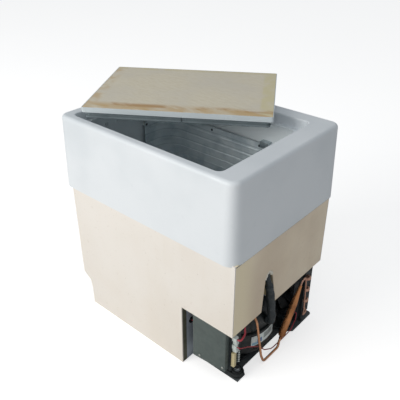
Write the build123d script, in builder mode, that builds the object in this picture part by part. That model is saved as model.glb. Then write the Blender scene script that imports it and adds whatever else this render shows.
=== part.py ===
from build123d import *
import os
from math import cos, pi, radians, sin, tan

# Top-loading ice box with its compressor unit in an open machine bay.  Millimetres, +Z up.
# The origin is on the floor, under the centre of the collar.  +X points to the machine bay,
# -Y is the long front face.

# ------------------------------------------------------------------ driving dimensions
TOTAL_HEIGHT = 550.0

COLLAR_X = 528.0            # outside size of the collar at its top
COLLAR_Y = 390.0
COLLAR_HEIGHT = 186.0
COLLAR_DRAFT = 1.85         # degrees, the collar widens downwards
COLLAR_CORNER = 22.0
COLLAR_TOP_ROUND = 9.0
COLLAR_WALL = 4.0
COLLAR_FLOOR = 3.0
COLLAR_Z = TOTAL_HEIGHT - COLLAR_HEIGHT

OPENING_X = (-236.0, 210.0)     # the rebate that takes the lid
OPENING_Y = (-173.0, 151.0)
OPENING_CORNER = 14.0
OPENING_ROUND = 3.0
LEDGE_Z = 524.0

BODY_X = (-247.0, 269.0)        # outside of the cabinet's sheet skin
BODY_Y = (-193.0, 175.0)
BODY_TOP = COLLAR_Z + COLLAR_FLOOR  # the skin stands in the hole of the collar's floor
SKIN = 3.0
BAY_X = 121.0                   # the machine bay starts here and is open to +X
BAY_Z = 178.0
TOE_PROFILE = ((-247.0, 95.0), (-222.0, 76.0), (-217.5, 50.0), (-217.5, 0.0))

LINER_SHEET = 2.5
CAVITY_Y = (-157.0, 134.0)
CAVITY_X = (-221.0, 194.0)
CAVITY_CORNER = 34.0
WELL_X = 80.0                   # right wall of the deep well
SHELF_Z = 216.0
STEP_Z = 128.0
STEP_X = -190.0
WELL_Z = 42.0
LINER_LIP = 9.0                 # how far the liner's lip lies over the collar's ledge

EVAPORATOR_X = -211.0           # middle plane of the sheet on the left wall
EVAPORATOR_Y = 122.0            # middle plane of the sheet on the back wall
EVAPORATOR_START_Y = 29.0
EVAPORATOR_END_X = 107.0
EVAPORATOR_Z = (262.0, 475.0)
EVAPORATOR_BEND = 55.0
EVAPORATOR_SHEET = 1.6

SUCTION_RADIUS = 4.0
SUCTION_END_X = 119.0                   # where each line passes through the cavity's back wall
SUCTION_LEVEL = 440.0
LINE_RADIUS = 3.0
LIQUID_END_X = 116.0
LIQUID_LEVEL = 412.0

COMPRESSOR_CENTRE = (193.0, -33.0)
COMPRESSOR_HALF = (62.0, 85.0)
COMPRESSOR_Z = (15.0, 92.0, 150.0)      # underside, weld seam, top

FAN_CENTRE = (195.0, 93.0)              # x and z of the fan's axis
FAN_SIZE = 120.0
FAN_Y = (80.0, 105.0)

COIL_X = (138.0, 254.0)                 # fin pack of the condenser
COIL_Y = (118.0, 165.0)
COIL_Z = (10.0, 172.0)
COIL_ROWS_Y = (130.0, 143.0)
COIL_LEVELS_Z = (138.0, 101.0, 64.0, 27.0)
COIL_TUBE_RADIUS = 4.2
OUTLET_RADIUS = 2.2                     # thin riser from the condenser to the drier

ELECTRONICS_TURN = 4.5                  # degrees about Z
ELECTRONICS_ORIGIN = (150.0, -187.0, 43.0)
ELECTRONICS_HEIGHT = 128.0

LID_LENGTH = 436.0
LID_WIDTH = 319.0
LID_HEIGHT = 27.5
LID_TURN = 32.8                         # degrees about Z, the lid lies askew on the collar
LID_CENTRE = (-101.0, 76.5)
LID_GAP = 0.3                           # clear of the collar's top face

OVERCUT = 1.0


# ------------------------------------------------------------------ shared shapes
def at_y(y):
    """Vertical plane facing -Y at the given y; its local axes are X and Z."""
    return Plane.XZ.offset(-y)


def at_x(x):
    """Vertical plane facing +X at the given x; its local axes are Y and Z."""
    return Plane.YZ.offset(x)


def at_z(z):
    """Level plane at the given height."""
    return Plane.XY.offset(z)


def block(x_range, y_range, z_range):
    """Plain block between two corners."""
    x0, x1 = x_range
    y0, y1 = y_range
    z0, z1 = z_range
    solid = Box(x1 - x0, y1 - y0, z1 - z0, mode=Mode.PRIVATE)
    return Pos((x0 + x1) / 2, (y0 + y1) / 2, (z0 + z1) / 2) * solid


def rounded_block(x_range, y_range, z_range, corner):
    """Block with its four upright edges rounded."""
    x0, x1 = x_range
    y0, y1 = y_range
    z0, z1 = z_range
    outline = RectangleRounded(x1 - x0, y1 - y0, corner)
    base = Pos((x0 + x1) / 2, (y0 + y1) / 2, z0) * outline
    return extrude(base, amount=z1 - z0)


def collar_block(inset, z_low, z_high):
    """Drafted block that follows the collar's outside, set in by a wall thickness."""
    spread = 2 * (TOTAL_HEIGHT - z_high) * tan(radians(COLLAR_DRAFT)) - 2 * inset
    with BuildPart() as drafted:
        with BuildSketch(at_z(z_high)):
            RectangleRounded(COLLAR_X + spread, COLLAR_Y + spread, COLLAR_CORNER - inset)
        extrude(amount=z_low - z_high, taper=-COLLAR_DRAFT)
    return drafted.part


def cavity_block(grow, z_top):
    """The liner's inside, or its outside when grown by the sheet: two floors and a toe step."""
    ys = (CAVITY_Y[0] - grow, CAVITY_Y[1] + grow)
    corner = CAVITY_CORNER + grow
    upper = rounded_block((CAVITY_X[0] - grow, CAVITY_X[1] + grow), ys, (SHELF_Z - grow, z_top), corner)
    middle = rounded_block((CAVITY_X[0] - grow, WELL_X + grow), ys, (STEP_Z - grow, SHELF_Z), corner)
    lower = rounded_block((STEP_X - grow, WELL_X + grow), ys, (WELL_Z - grow, STEP_Z), corner)
    return upper + middle + lower


def body_points(inset):
    """Outline of the cabinet below the collar in X and Z, set in by the skin."""
    toe = [(x + inset, z + (inset if z == 0 else inset / 2 if z > 90 else 0)) for x, z in TOE_PROFILE]
    return [
        (BODY_X[0] + inset, BODY_TOP),
        *toe,
        (BAY_X - inset, inset),
        (BAY_X - inset, BAY_Z + inset),
        (BODY_X[1] - inset, BAY_Z + inset),
        (BODY_X[1] - inset, BODY_TOP),
    ]


def pipe(points, radii, radius, hole=0.0):
    """Round tube along straight runs joined by tangent arcs, with its volume compared."""
    with BuildLine() as route:
        FilletPolyline(*points, radius=radii)
    wire = route.wire()
    with BuildPart() as tube:
        with BuildSketch(Plane(wire @ 0, z_dir=wire % 0)):
            Circle(radius)
            if hole:
                Circle(hole, mode=Mode.SUBTRACT)
        sweep(path=wire)
    section = pi * (radius**2 - hole**2)
    ratio = tube.part.volume / (section * wire.length)
    print(f"  tube r {radius}: length {wire.length:.1f}, bend radii {radii}, volume ratio {ratio:.3f}")
    return tube.part


os.makedirs("parts", exist_ok=True)


def save(builder, name):
    """Label one finished piece and write its file."""
    builder.part.label = name
    export_step(builder.part, f"parts/{name}.step")


# ------------------------------------------------------------------ collar and liner
# Moulded white collar: a drafted shell with the lid's rebate and ledge sunk into its top.
rebate_tub = rounded_block(
    (OPENING_X[0] - COLLAR_WALL, OPENING_X[1] + COLLAR_WALL),
    (OPENING_Y[0] - COLLAR_WALL, OPENING_Y[1] + COLLAR_WALL),
    (LEDGE_Z - COLLAR_WALL, TOTAL_HEIGHT),
    OPENING_CORNER + COLLAR_WALL,
)
collar_hollow = collar_block(COLLAR_WALL, BODY_TOP, TOTAL_HEIGHT - COLLAR_WALL) - rebate_tub
liner_outside = cavity_block(LINER_SHEET, LEDGE_Z + OVERCUT)
floor_hole = block(BODY_X, BODY_Y, (COLLAR_Z - OVERCUT, BODY_TOP))

with BuildPart() as collar:
    with BuildSketch(at_z(TOTAL_HEIGHT)):
        RectangleRounded(COLLAR_X, COLLAR_Y, COLLAR_CORNER)
    extrude(amount=-COLLAR_HEIGHT, taper=-COLLAR_DRAFT)
    fillet(collar.faces().sort_by(Axis.Z)[-1].edges(), radius=COLLAR_TOP_ROUND)
    with BuildSketch(at_z(TOTAL_HEIGHT)):
        with Locations((sum(OPENING_X) / 2, sum(OPENING_Y) / 2)):
            RectangleRounded(OPENING_X[1] - OPENING_X[0], OPENING_Y[1] - OPENING_Y[0], OPENING_CORNER)
    extrude(amount=LEDGE_Z - TOTAL_HEIGHT, mode=Mode.SUBTRACT)
    rebate_edges = collar.faces().sort_by(Axis.Z)[-1].inner_wires()[0].edges()
    fillet(rebate_edges, radius=OPENING_ROUND)
    add(collar_hollow, mode=Mode.SUBTRACT)
    add(liner_outside, mode=Mode.SUBTRACT)
    add(floor_hole, mode=Mode.SUBTRACT)
save(collar, "collar")

# Thin liner with a lip that lies on the collar's ledge.
liner_body = cavity_block(LINER_SHEET, LEDGE_Z)
liner_lip = rounded_block(
    (CAVITY_X[0] - LINER_LIP, CAVITY_X[1] + LINER_LIP),
    (CAVITY_Y[0] - LINER_LIP, CAVITY_Y[1] + LINER_LIP),
    (LEDGE_Z, LEDGE_Z + LINER_SHEET),
    CAVITY_CORNER + LINER_LIP,
)
cavity = cavity_block(0.0, LEDGE_Z + LINER_SHEET + OVERCUT)

with BuildPart() as inner_liner:
    add(liner_body)
    add(liner_lip)
    add(cavity, mode=Mode.SUBTRACT)
    rim_edges = inner_liner.faces().sort_by(Axis.Z)[-1].edges()
    fillet(rim_edges, radius=LINER_SHEET * 0.45)
    with BuildSketch(at_y(CAVITY_Y[1] + LINER_SHEET)):
        with Locations((SUCTION_END_X, SUCTION_LEVEL)):
            Circle(SUCTION_RADIUS)
        with Locations((LIQUID_END_X, LIQUID_LEVEL)):
            Circle(LINE_RADIUS)
    extrude(amount=LINER_SHEET, mode=Mode.SUBTRACT)
save(inner_liner, "inner_liner")

# ------------------------------------------------------------------ routes through the foam
OUTER_X = 271.0                     # plane of the tubes that pass outside the unit
LIQUID_ENTRY = (250.0, -93.0)       # where the liquid line goes up into the cabinet
POWER_ENTRY = (258.0, -133.0)       # where the power lead goes up into the cabinet
SUCTION_FOAM_X = 236.0              # the lines' places in the foam beside the cavity
LIQUID_FOAM_X = 212.0
FOAM_Y = 154.0                      # middle of the foam behind the cavity

# The filter drier leans on the outside of the fan.
DRIER_LOW = Vector(OUTER_X - 1.0, 11.0, 31.0)
DRIER_HIGH = Vector(OUTER_X - 1.0, 80.5, 146.0)
DRIER_RADIUS = 8.8
DRIER_TAILS = (5.0, 6.0)
NECK_RADIUS = LINE_RADIUS + 1.0
drier_axis = (DRIER_HIGH - DRIER_LOW).normalized()
drier_length = (DRIER_HIGH - DRIER_LOW).length
drier_outlet = DRIER_LOW - drier_axis * DRIER_TAILS[0]
drier_inlet = DRIER_HIGH + drier_axis * DRIER_TAILS[1]


def evaporator_entry(side_x, level, x):
    """Last stretch of a line: behind the cavity, through its wall and onto the sheet's end."""
    return [
        (side_x, 96.0, level),
        (side_x - 14.0, FOAM_Y - 4.0, level),
        (x + 44.0, FOAM_Y, level),
        (x, FOAM_Y, level),
        (x, EVAPORATOR_Y, level),
        (EVAPORATOR_END_X, EVAPORATOR_Y, level),
    ]


SLEEVE_RADIUS = 9.0
UPPER_SLEEVE_RADIUS = 7.4
suction_points = [
    (232.0, -36.0, 112.0),
    (266.5, -36.0, 112.0),
    (267.0, -47.0, 186.0),
    (265.5, -60.0, 246.0),
    (250.0, -67.0, 304.0),
    (SUCTION_FOAM_X, -40.0, 372.0),
    (SUCTION_FOAM_X, 30.0, SUCTION_LEVEL - 4.0),
    *evaporator_entry(SUCTION_FOAM_X, SUCTION_LEVEL, SUCTION_END_X),
]
suction_radii = [21.0, 60.0, 50.0, 40.0, 40.0, 40.0, 40.0, 20.0, 20.0, 12.0, 8.0]
suction_solid = pipe(suction_points, suction_radii, SUCTION_RADIUS)
sleeve_solid = pipe(suction_points, suction_radii, SLEEVE_RADIUS, SUCTION_RADIUS + 0.1)
upper_sleeve_solid = pipe(suction_points, suction_radii, UPPER_SLEEVE_RADIUS, SUCTION_RADIUS + 0.1)
suction_space = pipe(suction_points, suction_radii, UPPER_SLEEVE_RADIUS + 0.1)

loop_points = [
    drier_outlet,
    drier_outlet - drier_axis * 10.0,
    (OUTER_X, 0.5, 5.0),
    (OUTER_X, -64.0, 5.5),
    (OUTER_X - 0.5, -76.0, 34.0),
    (266.0, -97.0, 152.0),
    (LIQUID_ENTRY[0], LIQUID_ENTRY[1], 170.0),
    (LIQUID_ENTRY[0], LIQUID_ENTRY[1], 205.0),
    (LIQUID_FOAM_X + 4.0, -104.0, 300.0),
    (LIQUID_FOAM_X, 0.0, 396.0),
    *evaporator_entry(LIQUID_FOAM_X, LIQUID_LEVEL, LIQUID_END_X),
]
loop_radii = [12.0, 9.0, 13.0, 60.0, 9.0, 8.0, 12.0, 60.0, 60.0, 30.0, 20.0, 20.0, 12.0, 6.0]
liquid_solid = pipe(loop_points, loop_radii, LINE_RADIUS)

# ------------------------------------------------------------------ foam and outer panels
HOSE_SLOT_Y = (-87.0, -33.0)        # width of the slot at the panel's lower edge
HOSE_SLOT_TOP = (-66.0, 270.0)      # centre of its round top, y and z
HOSE_SLOT_RADIUS = 14.0
HOSE_CHANNEL_DEPTH = 30.0


def hose_slot(x, depth):
    """Slot for the suction hose, wide at the bottom and round at the top."""
    y_top, z_top = HOSE_SLOT_TOP
    with BuildPart() as slot:
        with BuildSketch(at_x(x)):
            with BuildLine():
                Polyline(
                    (HOSE_SLOT_Y[0], BAY_Z - OVERCUT),
                    (HOSE_SLOT_Y[1], BAY_Z - OVERCUT),
                    (y_top + HOSE_SLOT_RADIUS, z_top),
                    (y_top - HOSE_SLOT_RADIUS, z_top),
                    close=True,
                )
            make_face()
            with Locations((y_top, z_top)):
                Circle(HOSE_SLOT_RADIUS)
        extrude(amount=depth)
    return slot.part


foam_channel = hose_slot(BODY_X[1] - SKIN - HOSE_CHANNEL_DEPTH, HOSE_CHANNEL_DEPTH)

with BuildPart() as insulation_foam:
    with BuildSketch(at_y(BODY_Y[1] - SKIN)):
        with BuildLine():
            Polyline(*body_points(SKIN), close=True)
        make_face()
    extrude(amount=BODY_Y[1] - BODY_Y[0] - 2 * SKIN)
    add(collar_hollow)
    add(liner_outside, mode=Mode.SUBTRACT)
    add(foam_channel, mode=Mode.SUBTRACT)
    add(suction_space, mode=Mode.SUBTRACT)
    add(liquid_solid, mode=Mode.SUBTRACT)
save(insulation_foam, "insulation_foam")

with BuildPart() as front_panel:
    with BuildSketch(at_y(BODY_Y[0] + SKIN)):
        with BuildLine():
            Polyline(*body_points(0.0), close=True)
        make_face()
    extrude(amount=SKIN)
save(front_panel, "front_panel")

with BuildPart() as back_panel:
    with BuildSketch(at_y(BODY_Y[1])):
        with BuildLine():
            Polyline(*body_points(0.0), close=True)
        make_face()
    extrude(amount=SKIN)
save(back_panel, "back_panel")

panel_y = (BODY_Y[0] + SKIN, BODY_Y[1] - SKIN)
panel_depth = panel_y[1] - panel_y[0]
toe_outer = [(BODY_X[0], BODY_TOP), *TOE_PROFILE]
toe_inner = body_points(SKIN)[:5]
toe_inner[-1] = (toe_inner[-1][0], 0.0)

with BuildPart() as left_panel:
    with BuildSketch(at_y(panel_y[1])):
        with BuildLine():
            Polyline(*toe_outer, *reversed(toe_inner), close=True)
        make_face()
    extrude(amount=panel_depth)
save(left_panel, "left_panel")

right_slot = hose_slot(BODY_X[1] - SKIN - OVERCUT, SKIN + 2 * OVERCUT)
with BuildPart() as right_panel:
    add(block((BODY_X[1] - SKIN, BODY_X[1]), panel_y, (BAY_Z, BODY_TOP)))
    add(right_slot, mode=Mode.SUBTRACT)
save(right_panel, "right_panel")

with BuildPart() as bottom_panel:
    add(block((toe_inner[-1][0], BAY_X - SKIN), panel_y, (0.0, SKIN)))
save(bottom_panel, "bottom_panel")

CEILING_HOLE_RADIUS = 6.0
ceiling_channel = hose_slot(BODY_X[1] - SKIN - HOSE_CHANNEL_DEPTH, HOSE_CHANNEL_DEPTH + OVERCUT)
with BuildPart() as bay_ceiling_panel:
    add(block((BAY_X - SKIN, BODY_X[1] - SKIN), panel_y, (BAY_Z, BAY_Z + SKIN)))
    add(ceiling_channel, mode=Mode.SUBTRACT)
    with Locations((*LIQUID_ENTRY, BAY_Z + SKIN), (*POWER_ENTRY, BAY_Z + SKIN)):
        Hole(CEILING_HOLE_RADIUS, depth=SKIN)
save(bay_ceiling_panel, "bay_ceiling_panel")

CORNER_STRIP_DEPTH = 13.0
corner_strip_end = BODY_Y[0] + SKIN + CORNER_STRIP_DEPTH
with BuildPart() as bay_corner_strip:
    add(block((BAY_X - SKIN, BAY_X), (panel_y[0], corner_strip_end), (0.0, BAY_Z)))
save(bay_corner_strip, "bay_corner_strip")

SENSOR_ENTRY = (-160.0, 118.0)          # hole in the bay's side wall, y and z
SENSOR_ENTRY_FROM_BAY = (SENSOR_ENTRY[0], -SENSOR_ENTRY[1])
with BuildPart() as bay_side_panel:
    add(block((BAY_X - SKIN, BAY_X), (corner_strip_end, panel_y[1]), (0.0, BAY_Z)))
    with Locations(at_x(BAY_X)):
        with Locations(SENSOR_ENTRY):
            Hole(CEILING_HOLE_RADIUS, depth=SKIN)
save(bay_side_panel, "bay_side_panel")

# Rubber grommets in the bay's walls: two in the ceiling, one in the side.
GROMMET_LIP = 2.5
GROMMET_LIP_DEPTH = 2.0
CEILING_GROMMET_BORE = 3.3
SIDE_GROMMET_BORE = 2.0
side_wall_plane = Plane(origin=(BAY_X, 0, 0), x_dir=(0, 1, 0), z_dir=(-1, 0, 0))
with BuildPart() as wall_grommets:
    for plane, places, bore in (
        (at_z(BAY_Z), (LIQUID_ENTRY, POWER_ENTRY), CEILING_GROMMET_BORE),
        (side_wall_plane, (SENSOR_ENTRY_FROM_BAY,), SIDE_GROMMET_BORE),
    ):
        with BuildSketch(plane):
            with Locations(*places):
                Circle(CEILING_HOLE_RADIUS + GROMMET_LIP)
                Circle(bore, mode=Mode.SUBTRACT)
        extrude(amount=-GROMMET_LIP_DEPTH)
        with BuildSketch(plane):
            with Locations(*places):
                Circle(CEILING_HOLE_RADIUS)
                Circle(bore, mode=Mode.SUBTRACT)
        extrude(amount=SKIN)
save(wall_grommets, "wall_grommets")

# ------------------------------------------------------------------ evaporator and cabinet fittings
def evaporator_route(z, trim):
    """Plan line of the evaporator sheet, shortened at both ends."""
    return FilletPolyline(
        (EVAPORATOR_X, EVAPORATOR_START_Y + trim, z),
        (EVAPORATOR_X, EVAPORATOR_Y, z),
        (EVAPORATOR_END_X - trim, EVAPORATOR_Y, z),
        radius=EVAPORATOR_BEND,
    )


CHANNEL_COUNT = 9
CHANNEL_PITCH = 21.0
CHANNEL_TRIM = 16.0
CHANNEL_HALF_HEIGHT = 3.4
CHANNEL_HALF_DEPTH = 2.0
SHEET_CORNER = 9.0
channel_levels = [EVAPORATOR_Z[0] + 22.0 + CHANNEL_PITCH * i for i in range(CHANNEL_COUNT)]

with BuildPart() as evaporator_plate:
    with BuildSketch(at_z(EVAPORATOR_Z[0])):
        with BuildLine():
            FilletPolyline(
                (EVAPORATOR_X, EVAPORATOR_START_Y),
                (EVAPORATOR_X, EVAPORATOR_Y),
                (EVAPORATOR_END_X, EVAPORATOR_Y),
                radius=EVAPORATOR_BEND,
            )
        trace(line_width=EVAPORATOR_SHEET)
    extrude(amount=EVAPORATOR_Z[1] - EVAPORATOR_Z[0])
    corner_edges = evaporator_plate.edges().filter_by(lambda e: e.length < 2 * EVAPORATOR_SHEET)
    fillet(corner_edges, radius=SHEET_CORNER)
    for level in channel_levels:
        with BuildLine() as channel_line:
            evaporator_route(level, CHANNEL_TRIM)
        channel_wire = channel_line.wire()
        with BuildSketch(Plane(channel_wire @ 0, x_dir=(1, 0, 0), z_dir=channel_wire % 0)):
            Ellipse(CHANNEL_HALF_DEPTH, CHANNEL_HALF_HEIGHT)
        sweep(path=channel_wire)
save(evaporator_plate, "evaporator_plate")

# Screws hold the sheet to the liner through nylon spacers.
SCREW_LEVELS = (EVAPORATOR_Z[0] + 8.0, EVAPORATOR_Z[1] - 8.0)
LEFT_SCREW_Y = 35.0
BACK_SCREW_XS = (-56.0, 94.0)
left_screws = [(LEFT_SCREW_Y, z) for z in SCREW_LEVELS]
back_screws = [(x, z) for x in BACK_SCREW_XS for z in SCREW_LEVELS]
left_face_x = EVAPORATOR_X + EVAPORATOR_SHEET / 2
back_face_y = EVAPORATOR_Y - EVAPORATOR_SHEET / 2
SCREW_HEAD_RADIUS = 3.2
SCREW_HEAD = 1.6
SCREW_CHAMFER = 0.5
SPACER_RADIUS = 5.0

with BuildPart() as evaporator_screws:
    with BuildSketch(at_x(left_face_x)):
        with Locations(*left_screws):
            Circle(SCREW_HEAD_RADIUS)
    extrude(amount=SCREW_HEAD)
    with BuildSketch(at_y(back_face_y)):
        with Locations(*back_screws):
            Circle(SCREW_HEAD_RADIUS)
    extrude(amount=SCREW_HEAD)
    chamfer(evaporator_screws.edges().filter_by(GeomType.CIRCLE), length=SCREW_CHAMFER)
save(evaporator_screws, "evaporator_screws")

with BuildPart() as evaporator_spacers:
    with BuildSketch(at_x(EVAPORATOR_X - EVAPORATOR_SHEET / 2)):
        with Locations(*left_screws):
            Circle(SPACER_RADIUS)
    extrude(amount=-(EVAPORATOR_X - EVAPORATOR_SHEET / 2 - CAVITY_X[0]))
    with BuildSketch(at_y(EVAPORATOR_Y + EVAPORATOR_SHEET / 2)):
        with Locations(*back_screws):
            Circle(SPACER_RADIUS)
    extrude(amount=-(CAVITY_Y[1] - EVAPORATOR_Y - EVAPORATOR_SHEET / 2))
save(evaporator_spacers, "evaporator_spacers")

# Thermostat on the liner's front wall, under the rim, with a knob facing the inside.
THERMOSTAT_X = (96.0, 160.0)
THERMOSTAT_Z = (432.0, 500.0)
THERMOSTAT_DEPTH = 26.0
THERMOSTAT_CORNER = 7.0
THERMOSTAT_EDGE = 2.0
thermostat_face_y = CAVITY_Y[0] + THERMOSTAT_DEPTH
KNOB_CENTRE = (128.0, 472.0)
KNOB_RADIUS = 15.0
KNOB_BOSS = 1.0                     # gap between the housing and the knob
KNOB_DEPTH = 14.0
KNOB_EDGE = 2.0
KNOB_GRIP = (26.0, 6.0, 5.0)        # length, width and height of the bar across the knob
KNOB_FLUTES = 24
KNOB_FLUTE_RADIUS = 0.8
KNOB_FLUTE_DEPTH = 11.0
KNOB_SHAFT_RADIUS = 3.0
KNOB_SHAFT = 12.0
RUNNING_CLEARANCE = 0.05
with BuildPart() as thermostat_housing:
    add(block(THERMOSTAT_X, (CAVITY_Y[0], thermostat_face_y), THERMOSTAT_Z))
    fillet(thermostat_housing.edges().filter_by(Axis.Y), radius=THERMOSTAT_CORNER)
    fillet(thermostat_housing.faces().sort_by(Axis.Y)[-1].edges(), radius=THERMOSTAT_EDGE)
    with BuildSketch(at_y(thermostat_face_y)):
        with Locations(KNOB_CENTRE):
            Circle(KNOB_SHAFT_RADIUS + RUNNING_CLEARANCE)
    extrude(amount=KNOB_SHAFT + OVERCUT, mode=Mode.SUBTRACT)
save(thermostat_housing, "thermostat_housing")

with BuildPart() as thermostat_knob:
    with BuildSketch(at_y(thermostat_face_y + KNOB_BOSS)):
        with Locations(KNOB_CENTRE):
            Circle(KNOB_RADIUS)
    extrude(amount=-KNOB_DEPTH)
    fillet(thermostat_knob.faces().sort_by(Axis.Y)[-1].edges(), radius=KNOB_EDGE)
    with BuildSketch(at_y(thermostat_face_y + KNOB_BOSS + KNOB_DEPTH)):
        with Locations(KNOB_CENTRE):
            SlotOverall(KNOB_GRIP[0], KNOB_GRIP[1], rotation=90)
    extrude(amount=-KNOB_GRIP[2])
    with BuildSketch(at_y(thermostat_face_y + KNOB_BOSS)):
        with Locations(KNOB_CENTRE):
            with PolarLocations(KNOB_RADIUS, KNOB_FLUTES):
                Circle(KNOB_FLUTE_RADIUS)
    extrude(amount=-KNOB_FLUTE_DEPTH, mode=Mode.SUBTRACT)
    with BuildSketch(at_y(thermostat_face_y + KNOB_BOSS)):
        with Locations(KNOB_CENTRE):
            Circle(KNOB_SHAFT_RADIUS)
    extrude(amount=KNOB_BOSS + KNOB_SHAFT)
save(thermostat_knob, "thermostat_knob")

# Thin sensing tube from the thermostat along the right wall to the end of the evaporator.
SENSOR_RADIUS = 1.1
sensor_points = [
    (THERMOSTAT_X[1], -146.0, 486.0),
    (176.0, -146.0, 486.0),
    (188.0, -128.0, 487.0),
    (190.0, -70.0, 488.0),
    (190.0, 40.0, 486.0),
    (186.0, 104.0, 482.0),
    (160.0, 125.0, 474.0),
    (118.0, 127.0, 468.0),
]
sensor_radii = [8.0, 12.0, 30.0, 40.0, 14.0, 18.0]
sensor_tube_solid = pipe(sensor_points, sensor_radii, SENSOR_RADIUS)
with BuildPart() as thermostat_sensor_tube:
    add(sensor_tube_solid)
save(thermostat_sensor_tube, "thermostat_sensor_tube")

# Collar of white foam that seals the hose where it leaves the cabinet.
HOSE_SEAL_DEPTH = 9.0
HOSE_SEAL_PROUD = 1.0
with BuildPart() as hose_seal:
    with BuildSketch(at_x(BODY_X[1] - SKIN - HOSE_SEAL_DEPTH + HOSE_SEAL_PROUD)):
        with Locations(HOSE_SLOT_TOP):
            Circle(HOSE_SLOT_RADIUS - 0.2)
        with Locations((HOSE_SLOT_TOP[0], HOSE_SLOT_TOP[1] - HOSE_SLOT_RADIUS)):
            Rectangle(4 * HOSE_SLOT_RADIUS, 2 * HOSE_SLOT_RADIUS, mode=Mode.SUBTRACT)
    extrude(amount=HOSE_SEAL_DEPTH)
    add(suction_space, mode=Mode.SUBTRACT)
save(hose_seal, "hose_seal")

# ------------------------------------------------------------------ machine bay: base and compressor
PLATE = 2.0
PLATE_FLANGE = 18.0
PLATE_LEFT = BAY_X + 0.2
PLATE_Y = (-153.0, 168.0)
PLATE_CORNER = 8.0
PLATE_OUTLINE = (
    (PLATE_LEFT, PLATE_Y[0]),
    (260.0, PLATE_Y[0]),
    (260.0, -124.0),
    (242.0, -108.0),
    (242.0, 58.0),
    (267.0, 74.0),
    (267.0, PLATE_Y[1]),
    (PLATE_LEFT, PLATE_Y[1]),
)
FLANGE_SCREW_YS = (-120.0, 120.0)
FLANGE_SCREW_DROP = 7.0             # below the flange's top edge
FLANGE_SCREW_RADIUS = 4.5
FLANGE_SCREW_HEAD = 3.0
with BuildPart() as unit_base_plate:
    with BuildSketch(at_z(0.0)) as plate_sketch:
        with BuildLine():
            Polyline(*PLATE_OUTLINE, close=True)
        make_face()
        fillet(plate_sketch.vertices().group_by(Axis.X)[-1], radius=PLATE_CORNER)
    extrude(amount=PLATE)
    add(block((PLATE_LEFT, PLATE_LEFT + PLATE), PLATE_Y, (0.0, PLATE_FLANGE)))
save(unit_base_plate, "unit_base_plate")

with BuildPart() as unit_mount_screws:
    with BuildSketch(at_x(PLATE_LEFT + PLATE)):
        with Locations(*[(y, PLATE_FLANGE - FLANGE_SCREW_DROP) for y in FLANGE_SCREW_YS]):
            RegularPolygon(FLANGE_SCREW_RADIUS, 6)
    extrude(amount=FLANGE_SCREW_HEAD)
save(unit_mount_screws, "unit_mount_screws")

# Rubber grommets stand on the plate and carry the compressor's foot bracket.
GROMMET_PLACES = ((145.0, -137.0), (245.0, -137.0), (145.0, 66.0), (245.0, 66.0))
BRACKET_Z = (12.0, 15.0)
GROMMET_RADIUS = 14.5
GROMMET_ROUND = 2.6
GROMMET_NECK = 8.0
GROMMET_CAP_RADIUS = 12.5
GROMMET_CAP = 6.0
GROMMET_TOP = BRACKET_Z[1] + GROMMET_CAP
BOLT_RADIUS = 4.0
WASHER_RADIUS = 9.0
WASHER = 1.5
BOLT_HEAD_RADIUS = 6.5
BOLT_HEAD = 5.0
with BuildPart() as rubber_grommets:
    with BuildSketch(at_z(PLATE)):
        with Locations(*GROMMET_PLACES):
            Circle(GROMMET_RADIUS)
    extrude(amount=BRACKET_Z[0] - PLATE)
    fillet(rubber_grommets.edges().filter_by(GeomType.CIRCLE), radius=GROMMET_ROUND)
    with BuildSketch(at_z(BRACKET_Z[0] - OVERCUT)):
        with Locations(*GROMMET_PLACES):
            Circle(GROMMET_NECK)
    extrude(amount=BRACKET_Z[1] - BRACKET_Z[0] + 2 * OVERCUT)
    with BuildSketch(at_z(BRACKET_Z[1])):
        with Locations(*GROMMET_PLACES):
            Circle(GROMMET_CAP_RADIUS)
    extrude(amount=GROMMET_CAP)
    with BuildSketch(at_z(PLATE)):
        with Locations(*GROMMET_PLACES):
            Circle(BOLT_RADIUS + 0.2)
    extrude(amount=GROMMET_TOP, mode=Mode.SUBTRACT)
save(rubber_grommets, "rubber_grommets")

with BuildPart() as grommet_bolts:
    with BuildSketch(at_z(PLATE)):
        with Locations(*GROMMET_PLACES):
            Circle(BOLT_RADIUS)
    extrude(amount=GROMMET_TOP - PLATE)
    with BuildSketch(at_z(GROMMET_TOP)):
        with Locations(*GROMMET_PLACES):
            Circle(WASHER_RADIUS)
    extrude(amount=WASHER)
    with BuildSketch(at_z(GROMMET_TOP + WASHER)):
        with Locations(*GROMMET_PLACES):
            RegularPolygon(BOLT_HEAD_RADIUS, 6)
    extrude(amount=BOLT_HEAD)
save(grommet_bolts, "grommet_bolts")

FOOT_BAR = (130.0, 30.0)
FOOT_BAR_X = 195.0
FOOT_WEB = (80.0, 230.0)
FOOT_CORNER = 9.0
with BuildPart() as compressor_bracket:
    with BuildSketch(at_z(BRACKET_Z[0])) as bracket_sketch:
        for y in (GROMMET_PLACES[0][1], GROMMET_PLACES[2][1]):
            with Locations((FOOT_BAR_X, y)):
                Rectangle(*FOOT_BAR)
        with Locations((COMPRESSOR_CENTRE[0], (GROMMET_PLACES[0][1] + GROMMET_PLACES[2][1]) / 2)):
            Rectangle(*FOOT_WEB)
        fillet(bracket_sketch.vertices(), radius=FOOT_CORNER)
        with Locations(*GROMMET_PLACES):
            Circle(GROMMET_NECK + 0.1, mode=Mode.SUBTRACT)
    extrude(amount=BRACKET_Z[1] - BRACKET_Z[0])
save(compressor_bracket, "compressor_bracket")

# Hermetic shell in two halves, welded at a flange; hollow, with the motor and pump inside.
SHELL_WALL = 3.0
SEAM_FLANGE = 3.0
LOWER_FLANGE = 4.0
UPPER_FLANGE = 3.0
LOWER_ROUND = 24.0
UPPER_ROUND = 32.0


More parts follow.
